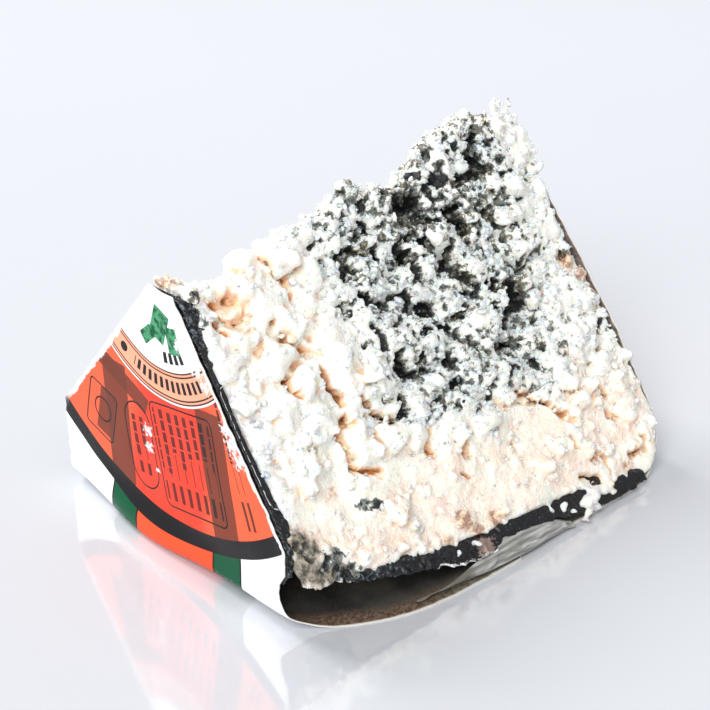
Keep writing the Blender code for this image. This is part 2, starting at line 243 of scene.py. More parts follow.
BOULDERS = (                  # depth, down and radius of the large lumps of the near cut, in mm
    (32.5, 3.2, 5.0), (22.0, 3.0, 4.6), (37.5, 9.5, 4.6), (24.5, 13.5, 5.2), (13.6, 12.6, 3.6),
    (28.4, 22.0, 5.6), (35.7, 35.0, 6.2), (44.8, 41.8, 6.6), (22.5, 36.5, 4.4), (52.8, 49.8, 5.6),
    (37.3, 27.0, 4.6), (33.0, 48.8, 4.6), (11.0, 19.0, 4.2), (62.0, 59.0, 4.4), (20.0, 26.5, 4.8),
    (41.5, 56.5, 4.4), (33.5, 57.0, 3.6), (21.5, 45.5, 4.4), (12.5, 30.0, 4.0), (47.0, 57.5, 4.2),
    (70.5, 62.0, 3.8), (55.5, 67.5, 4.0), (80.0, 58.5, 3.6), (101.0, 58.0, 4.2), (108.5, 50.5, 4.0),
    (50.5, 29.5, 5.4), (90.5, -2.4, 5.6), (104.0, 23.5, 4.0), (57.0, 36.0, 4.4), (113.5, 43.0, 4.0),
    (116.0, 62.5, 3.6), (107.0, 66.0, 4.0), (117.5, 78.0, 3.4), (100.7, 86.0, 1.9), (84.0, 39.0, 4.2),
    (3.6, 66.5, 2.0), (5.2, 68.5, 1.8), (8.0, 69.5, 1.6), (10.6, 72.3, 1.8), (3.6, 70.6, 1.8),
    (6.4, 74.0, 2.0), (10.2, 75.0, 1.8), (12.6, 77.6, 1.7), (3.0, 73.5, 1.8), (4.4, 76.0, 1.9),
    (7.6, 77.0, 1.9), (2.8, 77.0, 1.5), (5.2, 77.8, 1.4), (8.4, 78.4, 1.3), (11.4, 79.4, 1.3),
    (6.2, 71.4, 1.6), (5.5, 6.0, 1.6), (4.9, 10.8, 1.3), (3.9, 4.4, 1.7), (7.2, 4.2, 2.2),
    (11.6, 6.0, 3.0), (119.5, 33.5, 1.9), (121.5, 38.0, 1.7), (122.5, 43.0, 1.4), (116.5, 86.0, 2.6),
    (120.5, 83.5, 2.2), (25.9, 67.2, 1.7), (28.7, 67.6, 1.5), (26.9, 68.6, 1.0), (63.0, 86.9, 1.2),
    (66.5, 87.3, 0.9), (73.0, 87.6, 1.1), (79.0, 87.9, 1.2), (83.0, 88.2, 0.9), (88.5, 88.5, 1.2),
    (96.5, 90.2, 1.1), (99.5, 90.9, 0.9), (103.0, 91.7, 1.2), (107.5, 92.3, 1.0), (111.0, 93.1, 1.1),
    (57.0, 86.7, 1.1), (46.5, 85.7, 1.0), (33.5, 83.2, 1.1), (39.0, 84.5, 0.9), (27.0, 82.2, 1.1),
    (21.5, 81.7, 1.0), (15.2, 80.1, 1.8), (36.4, 82.8, 1.7), (41.5, 83.9, 1.5), (69.8, 86.3, 1.7),
    (75.8, 87.2, 1.5), (85.9, 87.9, 1.6), (31.0, 80.5, 2.2), (50.0, 84.0, 2.0), (118.5, -13.9, 1.5),
    (116.6, -13.3, 1.2), (123.3, -12.7, 1.1), (117.3, -11.0, 1.5), (120.1, -11.2, 1.0),
    (120.9, -9.2, 0.9), (115.6, -6.7, 3.2), (117.3, -3.6, 2.2), (119.3, -1.0, 1.3), (119.1, 2.8, 1.6),
    (107.6, -10.4, 3.0), (111.7, -10.8, 1.6), (105.1, -12.6, 1.8), (98.5, -10.9, 2.2), (94.7, -10.8, 1.6),
    (90.4, -8.8, 2.4), (87.3, -9.1, 1.4), (121.5, -5.0, 2.5), (122.8, -1.6, 2.3), (121.0, -8.4, 2.0),
    (85.2, -7.4, 1.5), (59.5, -6.8, 1.8), (60.4, -4.1, 3.0), (67.3, -3.1, 1.8),
)
BITS = (                      # x, y, z and radius of the lumps above the printed face, in mm
    (-61.6, 0.4, 75.6, 1.5), (-61.8, -2.6, 76.2, 1.5), (-61.0, -5.0, 76.4, 1.7), (-59.8, -6.8, 76.2, 1.8),
)
FOIL_BITS = (                 # depth, down and radius of the crumbs that cling to the foil band, in mm
    (78.3, 90.2, 1.0), (82.9, 90.6, 1.3), (85.0, 93.0, 0.9), (93.0, 91.8, 2.2), (96.9, 91.9, 2.0),
    (90.0, 93.4, 1.8), (100.0, 92.1, 1.7), (93.2, 94.7, 1.4), (88.8, 98.0, 1.3), (88.5, 95.9, 0.7),
    (45.0, 88.0, 0.8), (52.0, 88.0, 1.1),
)
STAINS = (                    # kind, then depth, down and radius of the near cut's coloured patches, in mm
    ("spore", (
        (25.8, 67.1, 1.7), (28.9, 67.9, 1.6), (26.9, 68.6, 1.0), (11.0, 76.4, 4.2), (14.0, 79.6, 3.0),
        (16.6, 80.4, 1.6), (4.6, 5.6, 2.0), (4.9, 11.3, 1.7), (3.2, 9.0, 1.5), (119.0, 31.0, 1.2),
        (121.0, 52.0, 1.4), (92.9, -5.5, 1.1), (88.6, -3.6, 1.5), (82.2, -3.2, 1.2), (87.5, 0.3, 1.6),
        (96.6, -6.8, 1.1), (83.7, 0.6, 1.0), (123.9, -13.7, 0.8), (123.9, -11.6, 0.7),
    )),
    ("gravel", (
        (4.6, 68.2, 3.2), (6.8, 70.6, 2.4), (4.0, 73.0, 3.2), (3.2, 75.6, 2.6), (6.0, 77.4, 2.4),
        (9.0, 78.4, 1.8),
    )),
    ("dusty", (
        (6.3, 21.6, 2.6), (7.2, 38.7, 2.6), (7.2, 45.7, 2.4), (3.0, 30.0, 2.2), (4.0, 52.0, 2.2),
        (3.6, 60.0, 2.4), (93.0, 92.5, 3.4), (52.0, 88.0, 1.4),
    )),
    ("rind", (
        (51.2, 81.5, 2.6), (60.8, 85.5, 2.2), (54.2, 86.7, 2.4), (116.2, 7.9, 1.4), (119.5, 33.5, 2.3),
        (121.5, 38.0, 2.1), (122.5, 43.0, 1.7), (7.4, -1.4, 2.2), (0.8, -0.5, 2.4), (45.0, 84.6, 1.4),
        (99.0, 84.5, 1.3), (110.0, 90.5, 1.5), (114.5, 87.5, 1.4), (20.0, 61.0, 1.0),
        (19.0, 50.0, 0.9), (109.6, -9.9, 1.1),
    )),
    ("shade", (
        (108.8, -12.4, 4.2), (101.5, -10.9, 3.6), (95.8, -10.7, 3.2), (87.6, -9.0, 3.2),
        (103.5, -1.1, 5.4), (96.7, 1.0, 3.6), (107.6, -4.9, 3.6), (111.3, 2.1, 3.4), (59.5, -6.8, 3.2),
        (60.4, -3.0, 3.4), (74.0, 2.5, 9.0), (85.0, 8.7, 8.0), (85.0, -1.2, 2.0), (95.8, 9.1, 6.0),
        (107.9, 11.3, 4.0), (99.0, 34.7, 4.5),
    )),
    ("slab", (
        (88.5, -4.2, 3.4), (95.0, -4.1, 3.4), (96.5, -1.3, 2.4), (84.2, -0.4, 2.6), (116.4, -6.8, 3.4),
        (117.6, -3.5, 2.4), (118.4, -13.7, 1.6),
    )),
)

# Lumps fused into the paste: count, smallest and largest radius and how strongly small ones prevail,
# then nearest that a broken face comes to a lump's middle and how far that lies out, in radii
BREAKS = 0.45
MOULD_LUMPS = (
    ((340, 0.0015, 0.0033, 1.3), (1900, 0.0009, 0.0021, 1.6), (3400, 0.0005, 0.0010, 1.2)),
    BREAKS, (-0.55, 0.35),
)
CREAM_LUMPS = (
    ((230, 0.0018, 0.0036, 1.3), (2200, 0.0008, 0.0020, 1.8), (2600, 0.0004, 0.0008, 1.5)),
    0.60, (-0.85, 0.10),
)
BALL_DETAIL = (3, 2, 2)
LUMP_CUTS, LUMP_WAVES = 8, 4
GRAVEL_GRAINS, GRAVEL_SPREAD, GRAVEL_SIZES = 26, (0.42, 0.42, 0.55), (0.0005, 0.0011)
CLUSTER_SIZE = 0.010          # of the crumbs on the close paste
GRIT_KINDS = (                # share of the grit, detail, smallest and largest radius
    (0.14, 2, 0.00045, 0.00110), (0.86, 1, 0.00022, 0.00062),
)
VOXEL = 0.00046
BODY_TRIANGLES = 192000
SHUT_REACH = 0.0060           # walls nearer than this shade a point and hold its mould
RAYS, RAY_START, RAY_FACING = 26, 0.00012, 0.15          # count, start off the surface, least cosine to it
ALONG, ACROSS, UP = 190, 16, 150           # cells of the form before its lumps
EDGE = 0.001                  # share of the form that counts as its outer side
BACK_PITS = (0.0060, 0.0080, 0.25, 0.50)   # depth, size, and the noise where they start and are deepest
NEAR_PITS = (0.0046, 0.0048, 0.05, 0.40)   # the same, between the hollows above
CREASE_ROUNDS, CREASE_DEPTH = 8, 0.00030   # smoothing and depth that tell creases from crumbs
STAIN_REACH = 9.0             # stains reach this deep below the near cut, in mm
SOFTNESS = 0.40               # share of the smoothing that the cream takes
GRAIN_SIZE, GRAIN_HEIGHTS = 0.0011, (0.00014, 0.00026)     # of the finest relief, in cream and in mould
GRIT_SIZE, GRIT_HEIGHTS = 0.0017, (0.00026, 0.00045)
FACING_SIDE, FACING_UP = 0.25, 0.55        # least part of a normal on a cut, and on the crest
CLEFT_AGAIN, PIT_AGAIN = 0.9, 0.35         # shares of the clefts and pits cut again through the lumps
AGAIN_LIFTS = (-11.0, -6.0)   # lift off the near cut, in mm, from none of this to all of it
CLEFT_FULL, PIT_FULL = 0.0030, 0.0045      # depths from which their colours, painted shade in part, are at full strength
BLUSH_DOWN, BLUSH_RUN = 0.045, 0.025       # the blush starts here on the way down, and is full after this
STAIN_GRAINS = (0.0017, 0.0006)            # sizes of the raggedness of the stains' edges

# Stage
LIGHTS_TARGET = (0.0, 0.0, 0.04)
KEY_LIGHT = (2.2, (-0.60, 4.40, 4.40))     # size and place
FILL_LIGHT = (3.4, (-3.40, -1.80, 3.80))
FLOOR_RADIUS = 4.0
CAMERA_PLACE, CAMERA_TURN = (-0.2658, -0.2957, 0.2576), (60.53, 0.0, -41.96)


def mix(low, high, share):
    return low + (high - low) * share


def between(place, rows):
    """Values of a table of rows at a place, its first column."""
    columns = list(zip(*rows))
    return [float(np.interp(place, columns[0], column)) for column in columns[1:]]


def bump(distance, width):
    return math.exp(-(distance / width) ** 2)


def ripple(size, *place):
    return noise.noise(Vector(place) / size)


def ease(low, high, value):
    """0 below low, 1 above high, and a smooth turn between them."""
    share = min(max((value - low) / (high - low), 0.0), 1.0)
    return share * share * (3.0 - 2.0 * share)


def down_the_cut(height):
    return (AXIS_HEIGHT - height) * math.hypot(1.0, NEAR_LEAN)


def far_depth(height, inset=0.0):
    """Depth of the far face at a height: a leaning flat above a round heel."""
    if height >= FAR_RADIUS:
        return THICKNESS - inset - FAR_TILT * (height - FAR_RADIUS)
    reach = (FAR_RADIUS - inset) ** 2 - (FAR_RADIUS - height) ** 2
    return THICKNESS - FAR_RADIUS + math.sqrt(max(reach, 0.0))


def cheese_far(height):
    tip = min(max((height - TIP_START) / TIP_BLEND, 0.0), 1.0)
    return far_depth(height, WALL_GAP) + TIP_REACH * tip


def near_cut_y(height):
    return -NEAR_OFFSET - NEAR_LEAN * (AXIS_HEIGHT - height)


def near_cut_point(down):
    drop = down / math.hypot(1.0, NEAR_LEAN)
    return near_cut_y(AXIS_HEIGHT - drop), AXIS_HEIGHT - drop


def crest_height(depth):
    return near_cut_point(between(depth / MM, CREST)[0] * MM)[1]


def shoulder(depth):
    run = max(depth - SHOULDER_START, 0.0) / SHOULDER_RUN
    return math.exp(-run ** SHOULDER_POWER)


def near_corner(depth):
    """Lower edge of the near cut, as y and z."""
    return near_cut_point(between(depth / MM, LOWER_EDGE)[0] * MM)


def section(depth):
    """Crest and lower edge of both cuts at a depth, each as y and z."""
    top = crest_height(depth)
    near_top = (near_cut_y(top), top)
    back_top = (near_top[0] + CREST_WIDTH, top - CREST_FALL)
    near_low = near_corner(depth)
    back_low = (BASE_WIDTH - BACK_LEAN * near_low[1], near_low[1])
    return near_top, near_low, back_top, back_low


def cheese_point(along, across, up):
    """Point of the cheese for three shares: printed end to far end, near to back, base to crest."""
    nominal = mix(CHEESE_START, THICKNESS - WALL_GAP, along)
    near_top, near_low, back_top, back_low = section(nominal)
    near = [mix(near_low[i], near_top[i], up) for i in (0, 1)]
    back = [mix(back_low[i], back_top[i], up) for i in (0, 1)]
    y = mix(near[0], back[0], across)
    z = mix(near[1], back[1], across)
    middle = min(WALL_GAP + END_LIFT * shoulder(nominal), near_low[1])
    belly = (near_low[1] - middle) * (1.0 - abs(2.0 * across - 1.0) ** RIM_FULLNESS)
    z -= belly * (1.0 - up) ** 2
    depth = mix(CHEESE_START, cheese_far(z), along)
    return Vector((FACE_X + depth, y, max(z, WALL_GAP)))


def mould_share(point):
    """How mouldy the paste is at a point: 0 in the cream, 1 in the blue heart of the wheel."""
    depth = (point.x - FACE_X) / MM
    down = down_the_cut(point.z) / MM
    depth += 6.0 * noise.noise(point / 0.016) + 5.0 * noise.noise(point / 0.007)
    down += 6.0 * noise.noise(point / 0.014 + Vector((5.0, 0.0, 0.0)))
    left_slope, low_slope, far_slope = MOULD_SLOPES
    left = ease(mix(*MOULD_START, ease(*MOULD_SHIFT, down)), MOULD_FULL, depth - left_slope * down)
    low = 1.0 - ease(*MOULD_LOW, down - low_slope * (depth - MOULD_LOW[0]))
    far = 1.0 - MOULD_FAR_LOSS * ease(*MOULD_FAR, depth + far_slope * down)
    return left * low * far


def coarse_relief(point):
    """Swells and lumps, as on the part's own solid."""
    height = noise.noise(point / SWELL_SIZE) * SWELL_HEIGHT
    close = ease(SMOOTH_DOWN - SMOOTH_BLEND, SMOOTH_DOWN + SMOOTH_BLEND, down_the_cut(point.z))
    for size, rise in ((LUMP_SIZE, LUMP_HEIGHT), (CRUMB_SIZE, CRUMB_HEIGHT)):
        nearest = noise.voronoi(point / size)[0][0]
        height += (LUMP_LEVEL - nearest) * rise * mix(1.0, CLOSE_RELIEF, close)
    return height


def line_distance(place, corners):
    """Distance of a place to a line with corners, all as depth and down."""
    nearest = 1e9
    for start, end in zip(corners, corners[1:]):
        along = Vector(end) - Vector(start)
        share = min(max((place - Vector(start)).dot(along) / along.length_squared, 0.0), 1.0)
        nearest = min(nearest, (place - Vector(start) - along * share).length)
    return nearest


def dug(point, lines):
    """Depth dug at a point of the near cut by ragged pits along lines, in metres."""
    place = Vector(((point.x - FACE_X) / MM, down_the_cut(point.z) / MM))
    for size, reach in RAGGED:
        first = noise.noise(point / size)
        second = noise.noise(point / size + Vector((7.0, 0.0, 0.0)))
        place += Vector((first, second)) * reach
    deepest = 0.0
    for half_width, deep, corners in lines:
        distance = line_distance(place, corners)
        if distance < half_width * 1.5:
            deepest = max(deepest, deep * MM * (1.0 - ease(0.35, 1.25, distance / half_width)))
    return deepest


def cube_grid(cells_x, cells_y, cells_z):
    """Cube from 0 to 1 with its faces cut into a grid, all quads."""
    bm = bmesh.new()
    bmesh.ops.create_cube(bm, size=1.0)
    bmesh.ops.translate(bm, verts=bm.verts, vec=(0.5, 0.5, 0.5))
    for axis, cells in enumerate((cells_x, cells_y, cells_z)):
        parallel = [e for e in bm.edges if abs(e.verts[0].co[axis] - e.verts[1].co[axis]) > 0.5]
        bmesh.ops.subdivide_edges(bm, edges=parallel, cuts=cells - 1, use_grid_fill=True)
    return bm


def keep_inside(point):
    """Holds a point of the cheese clear of the wrapper and the lining."""
    point.z = max(point.z, WALL_GAP)
    farthest = FACE_X + cheese_far(point.z)
    start = CHEESE_START * (1.0 - ease(PANEL_TOP, PANEL_TOP + 0.001, point.z))
    point.x = min(max(point.x, FACE_X + start), farthest)
    return point


def vectors(mesh, field):
    """Places or normals of a mesh's vertices, as rows of three."""
    flat = np.empty(len(mesh.vertices) * 3)
    mesh.vertices.foreach_get(field, flat)
    return flat.reshape(-1, 3)


def smoothed(points, edges, rounds):
    """Points moved to the middle of their neighbours, again and again."""
    ends = np.concatenate([edges, edges[:, ::-1]])
    count = np.bincount(ends[:, 0], minlength=len(points))
    for _ in range(rounds):
        means = [np.bincount(ends[:, 0], points[ends[:, 1], i], len(points)) / count for i in range(3)]
        points = 0.5 * points + 0.5 * np.stack(means, axis=1)
    return points


def store(mesh, name, values):
    """Writes one number for each vertex, for the materials to read."""
    layer = mesh.attributes.new(name, "FLOAT", "POINT")
    layer.data.foreach_set("value", np.asarray(values, dtype=np.float32))


def add_piece(mesh, name, surfaces, stands_for=()):
    """Links a mesh as a piece of the wedge with its materials and the nodes it replaces."""
    for surface in surfaces:
        mesh.materials.append(surface)
    piece = bpy.data.objects.new(name, mesh)
    bpy.context.scene.collection.objects.link(piece)
    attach(piece, "root")
    if stands_for:
        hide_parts(*stands_for)
    return piece


class Value:
    """Output of a node in a material. Sums, products and so on of it add further nodes."""

    def __init__(self, graph, socket):
        self.graph, self.socket = graph, socket

    def math(self, operation, *others):
        return self.graph.add("Math", [self, *others], operation=operation)

    def __add__(self, other):
        return self.math("ADD", other)

    def __sub__(self, other):
        return self.math("SUBTRACT", other)

    def __mul__(self, other):
        return self.math("MULTIPLY", other)

    def __truediv__(self, other):
        return self.math("DIVIDE", other)

    def __abs__(self):
        return self.math("ABSOLUTE")

    def axis(self, number):
        return self.graph.add("SeparateXYZ", [self], number)

    def ramp(self, low, high):
        """0 at low, 1 at high and smooth between; low may be above high."""
        return self.graph.add("MapRange", [self, low, high], interpolation_type="SMOOTHSTEP")

    def within(self, low, high, soft):
        return self.ramp(low - soft, low + soft) * self.ramp(high + soft, high - soft)

    def blend(self, low, high):
        """Colour between two colours, by this value as the share of the second."""
        return self.graph.add("Mix", {0: self, 6: low, 7: high}, 2, data_type="RGBA")


def most(values):
    largest = values[0]
    for value in values[1:]:
        largest = largest.math("MAXIMUM", value)
    return largest


def hypotenuse(across, up):
    return (across * across + up * up).math("SQRT")


def turned(across, up, middle, degrees):
    """Place seen from a middle, turned by an angle."""
    cosine, sine = math.cos(math.radians(degrees)), math.sin(math.radians(degrees))
    across, up = across - middle[0], up - middle[1]
    return across * cosine + up * sine, up * -cosine + across * sine


def box(across, up, middle, half, degrees, corner):
    """Distance to the outline of a box with round corners, below 0 inside it."""
    across, up = turned(across, up, middle, degrees)
    across, up = abs(across) - (half[0] - corner), abs(up) - (half[1] - corner)
    outside = hypotenuse(across.math("MAXIMUM", 0.0), up.math("MAXIMUM", 0.0))
    return outside + most([across, up]).math("MINIMUM", 0.0) - corner


class Graph:
    """A material while it is written."""

    def __init__(self, name):
        self.material = bpy.data.materials.new(name)
        self.material.use_nodes = True
        self.tree = self.material.node_tree
        self.shader = self.tree.nodes["Principled BSDF"]

    def add(self, kind, values=(), output=0, **settings):
        """Adds a node with inputs by number or name, and gives one of its outputs."""
        node = self.tree.nodes.new("ShaderNode" + kind)
        for key, value in settings.items():
            setattr(node, key, value)
        for key, value in values.items() if isinstance(values, dict) else enumerate(values):
            self.feed(node.inputs[key], value)
        return Value(self, node.outputs[output])

    def feed(self, socket, value):
        if isinstance(value, Value):
            self.tree.links.new(value.socket, socket)
        elif socket.type == "RGBA" and len(value) == 3:
            socket.default_value = (*value, 1.0)
        else:
            socket.default_value = value

    def __getitem__(self, name):
        """Number stored on each vertex under a name."""
        return self.add("Attribute", output="Fac", attribute_name=name)

    def place(self):
        return self.add("TexCoord", output="Object")

    def grain(self, size, detail=2.0, roughness=0.5, place=None):
        """Soft noise from 0 to 1 with features of a size in metres."""
        values = {"Vector": place or self.place(), "Scale": 1.0 / size}
        return self.add("TexNoise", {**values, "Detail": detail, "Roughness": roughness})

    def cells(self, size):
        """Distance to the nearest of scattered points, about a size in metres apart."""
        return self.add("TexVoronoi", {"Vector": self.place(), "Scale": 1.0 / size}, "Distance")

    def finish(self, colour, roughness, height=None, strength=1.0):
        """Joins the colour, the roughness and the height of the fine relief in metres to the shader."""
        self.feed(self.shader.inputs["Base Color"], colour)
        self.feed(self.shader.inputs["Roughness"], roughness)
        if height:
            relief = self.add("Bump", {"Height": height, "Strength": strength, "Distance": 1.0})
            self.feed(self.shader.inputs["Normal"], relief)
        return self.material


def linear(*rgb):
    """Colour from screen values of 0 to 255."""
    return tuple((c / 255 / 12.92) if c <= 10 else ((c / 255 + 0.055) / 1.055) ** 2.4 for c in rgb)


def tint(name, description, *rgb):
    """Colour setting, its default given as screen values of 0 to 255."""
    return FloatVectorProperty(name=name, description=description, default=linear(*rgb), subtype="COLOR")


class PasteSettings(bpy.types.PropertyGroup):
    """Colours and crumbs of the cheese."""

    cream: tint("Cream", "Fresh paste", 255, 251, 240)
    blush: tint("Blush", "Close paste near the rim", 251, 236, 222)
    pink: tint("Pink", "Warm clouds in the close paste", 246, 218, 200)
    tan: tint("Tan", "Shaded hollows of the cream", 250, 214, 180)
    # cleft: painted warm shade deep in the clefts
    cleft: tint("Cleft", "Depth of the clefts in the cream", 222, 156, 96)
    pale: tint("Pale mould", "Crumbs in the mould", 241, 239, 231)
    grey: tint("Grey mould", "Dusty mould on the crumbs", 126, 129, 123)
    olive: tint("Olive mould", "Older mould, here and there", 122, 118, 98)
    # dark: spores, and painted shade in the creases and hollows
    dark: tint("Dark mould", "Spores in creases and hollows", 24, 26, 26)
    ash: tint("Ash", "Dusty bloom beside the foil", 228, 226, 228)
    # silt: partly painted shade in the gravel's creases
    silt: tint("Silt", "Creases of the mouldy gravel at the corner", 62, 57, 48)
    stone: tint("Stone", "Grains of the mouldy gravel at the corner", 160, 153, 138)
    rind: tint("Rind", "Old rind at the edges", 150, 104, 82)
    seed: IntProperty(name="Seed", description="Of the lumps' places and shapes", default=7, min=0)
    grit: IntProperty(name="Grit", description="Loose crumbs on each cut", default=6400, min=0)


class PrintSettings(bpy.types.PropertyGroup):
    """Colours of the wrapper's print."""

    orange: tint("Orange", "Printed field", 238, 98, 62)
    red: tint("Red", "Middle of the printed field", 240, 66, 44)
    brown: tint("Brown", "Shaded bands", 110, 52, 36)
    peach: tint("Peach", "Inner ring", 255, 170, 138)
    white: tint("White", "Bare paper", 247, 247, 247)
    black: tint("Black", "Outer ring and lines", 24, 23, 25)
    green: tint("Green", "Bands and lozenges", 2, 80, 50)
    leaf: tint("Leaf", "Worn patches of the lozenges", 78, 158, 112)
    band: tint("Band", "Bright band on the rim", 255, 82, 44)


class StageSettings(bpy.types.PropertyGroup):
    """Floor, lights and camera."""

    floor: FloatVectorProperty(
        name="Floor", description="Glossy pale floor", default=(0.50, 0.515, 0.545), subtype="COLOR"
    )
    sky: FloatVectorProperty(
        name="Sky", description="Soft light from all sides", default=(0.96, 0.975, 1.0), subtype="COLOR"
    )
    sky_strength: FloatProperty(name="Sky strength", description="Of the light from all sides", default=0.51)
    key_power: FloatProperty(name="Key power", description="Softbox behind", default=350.0, unit="POWER")
    fill_power: FloatProperty(name="Fill power", description="Softbox, left", default=315.0, unit="POWER")
    lens: FloatProperty(name="Lens", description="Focal length on a 36 mm sensor", default=86.2)


def paste_material():
    """Cream, blush, clefts, mould and stains of the paste, with painted shade in its hollows, creases, clefts
    and pits, from the values stored on each vertex.
    """
    colours = bpy.context.scene.cheese_paste
    graph = Graph("crumbly_paste")
    mould, blush, cleft, pit, shut = [graph[name] for name in ("mould", "blush", "cleft", "pit", "shut_in")]
    crease, spore, shade, slab = [graph[name] for name in ("creased", "spore", "shade", "slab")]
    fine = graph.grain(0.0007, 3.0, 0.7) - 0.5
    speckle = graph.grain(0.0016, 4.0, 0.65) - 0.5
    coarse = graph.grain(0.0034, 3.0, 0.6) - 0.5
    patch = graph.grain(0.0075, 3.0) - 0.5
    # the crease terms add a little painted warm shade to the blush and the pink; the rest is the paste's own
    # tone
    warm = blush + patch * 1.6 + coarse * 0.6 + crease * 0.35
    cream = (warm.ramp(0.15, 1.05) * 0.85).blend(colours.cream, colours.blush)
    warm = blush * 0.75 + patch * 1.8 + speckle * 0.6 + crease * 0.30
    cream = (warm.ramp(0.62, 1.10) * 0.8).blend(cream, colours.pink)
    # painted shade: tan where the paste is shut in or creased, and orange-brown deep in the clefts, for the
    # warm shade that falls in its recesses
    painted_hollow_shade = shut + cleft * 0.32 + crease * 0.22 + speckle * 0.30
    cream = painted_hollow_shade.ramp(0.13, 0.68).blend(cream, colours.tan)
    cream = painted_hollow_shade.ramp(0.76, 1.15).blend(cream, colours.cleft)
    # partly spores and partly painted shade: the mould darkens where the paste is shut in, creased or pitted
    spores_and_shade = shut * 0.95 + crease * 0.75 + coarse * 1.6 + speckle * 1.5 + fine * 1.2 + patch * 0.8
    spores_and_shade += mould * 0.72 + pit * 0.45 + spore * 1.5 + shade * 0.42 - slab * 0.50 - 0.70
    dusted = patch.ramp(-0.02, 0.16).blend(colours.grey, colours.olive)
    dusted = spores_and_shade.ramp(0.10, 0.42).blend(colours.pale, dusted)
    mouldy = spores_and_shade.ramp(0.42, 1.00).blend(dusted, colours.dark)
    share = mould + patch * 0.9 + speckle * 0.9 + coarse * 0.6 + crease * 0.25
    share += spore + shade * 0.8 + slab * 0.5
    paste = share.ramp(0.08, 0.62).blend(cream, mouldy)
    dusty = fine.ramp(0.10, 0.20).blend(colours.ash, colours.rind)
    paste = (graph["dusty"] * 0.75).blend(paste, dusty)
    # the gravel's grains against dark silt, with painted shade: more silt where the grains are shut in or
    # creased
    stones = speckle * 1.6 + fine * 0.8 - shut * 0.6 - crease * 0.3
    stones = stones.ramp(-0.30, 0.40).blend(colours.silt, colours.stone)
    paste = graph["gravel"].blend(paste, stones)
    skin = speckle.ramp(-0.06, 0.10).blend(colours.rind, colours.tan)
    paste = (graph["rind"] * 0.85).blend(paste, skin)
    crumbs = graph.cells(0.0013) + graph.cells(0.0006) * 0.5
    height = speckle * 0.0006 + fine * 0.0004 - crumbs * 0.00032
    graph.shader.inputs["Subsurface Weight"].default_value = 0.7
    graph.shader.inputs["Subsurface Scale"].default_value = 0.0036
    graph.shader.inputs["Subsurface Radius"].default_value = (1.0, 0.6, 0.35)
    return graph.finish(paste, 0.55, height, 0.8)


def mesh_of(name, points, faces):
    """Mesh of triangles, from rows of places and rows of corner numbers."""
    mesh = bpy.data.meshes.new(name)
    mesh.vertices.add(len(points))
    mesh.vertices.foreach_set("co", np.ascontiguousarray(points, dtype=np.float32).ravel())
    mesh.loops.add(faces.size)
    mesh.loops.foreach_set("vertex_index", np.ascontiguousarray(faces, dtype=np.int32).ravel())
    mesh.polygons.add(len(faces))
    mesh.polygons.foreach_set("loop_start", np.arange(0, faces.size, 3, dtype=np.int32))
    mesh.update(calc_edges=True)
    mesh.shade_smooth()
    return mesh


def move(mesh, points):
    """Puts the vertices of a mesh in new places."""
    mesh.vertices.foreach_set("co", np.array(points).ravel())
    mesh.update()


def random_pit(point, deep, size, low, high):
    return deep * ease(low, high, noise.noise(point / size)) * mould_share(point)


def core():
    """The wedge's form as a grid, with its swells, pits and clefts."""
    bm = cube_grid(ALONG, ACROSS, UP)
    mesh = bpy.data.meshes.new("core")
    bm.to_mesh(mesh)
    bm.free()
    shares = vectors(mesh, "co")
    points = [cheese_point(*share) for share in shares]
    move(mesh, points)
    for point, normal, (along, across, up) in zip(points, vectors(mesh, "normal"), shares):
        height = coarse_relief(point)
        if along < EDGE or along > 1.0 - EDGE or up < EDGE:
            height *= END_RELIEF
        elif across < EDGE:
            height -= max(dug(point, HOLLOWS), dug(point, CRACKS), random_pit(point, *NEAR_PITS))
        elif across > 1.0 - EDGE:
            height -= random_pit(point, *BACK_PITS)
        point += Vector(normal) * height
        if across < EDGE:
            point += Vector((CORNER_ROUND, 0.0, 0.0)) * bump(point.x - FACE_X - CHEESE_START, CORNER_SPAN)
    move(mesh, points)
    return mesh


def triangles(mesh):
    """Rows of corner numbers, for a mesh of quads or of triangles."""
    mesh.calc_loop_triangles()
    flat = np.empty(len(mesh.loop_triangles) * 3, dtype=np.int32)
    mesh.loop_triangles.foreach_get("vertices", flat)
    return flat.reshape(-1, 3)


def lumps(centres, sizes, detail, rng, rough=0.22, breaks=BREAKS):
    """Broken lumps: balls cut by random planes and swelled by random waves."""
    bm = bmesh.new()
    bmesh.ops.create_icosphere(bm, subdivisions=detail, radius=1.0)
    directions = np.array([vert.co.normalized()[:] for vert in bm.verts])
    faces = np.array([[vert.index for vert in face.verts] for face in bm.faces])
    bm.free()
    count = len(centres)
    cuts = rng.normal(size=(count, LUMP_CUTS, 3))
    cuts /= np.linalg.norm(cuts, axis=2, keepdims=True)
    depths = rng.uniform(breaks, 1.0, size=(count, LUMP_CUTS))
    facing = np.einsum("vk,nck->nvc", directions, cuts)
    out = np.where(facing > 0.05, depths[:, None, :] / np.maximum(facing, 0.05), 9.0).min(axis=2)
    waves = rng.normal(size=(count, LUMP_WAVES, 3)) * 2.6
    phases = rng.uniform(0.0, 6.28, size=(count, 1, LUMP_WAVES))
    swell = np.sin(np.einsum("vk,nck->nvc", directions, waves) + phases).mean(axis=2)
    out = np.minimum(out, 1.1) * (1.0 + rough * 2.0 * swell)
    stretch = rng.uniform(0.7, 1.3, size=(count, 1, 3))
    points = directions[None] * out[:, :, None] * stretch * sizes[:, None, None] + centres[:, None, :]
    numbers = faces[None] + (np.arange(count) * len(directions))[:, None, None]
    return points.reshape(-1, 3), numbers.reshape(-1, 3)


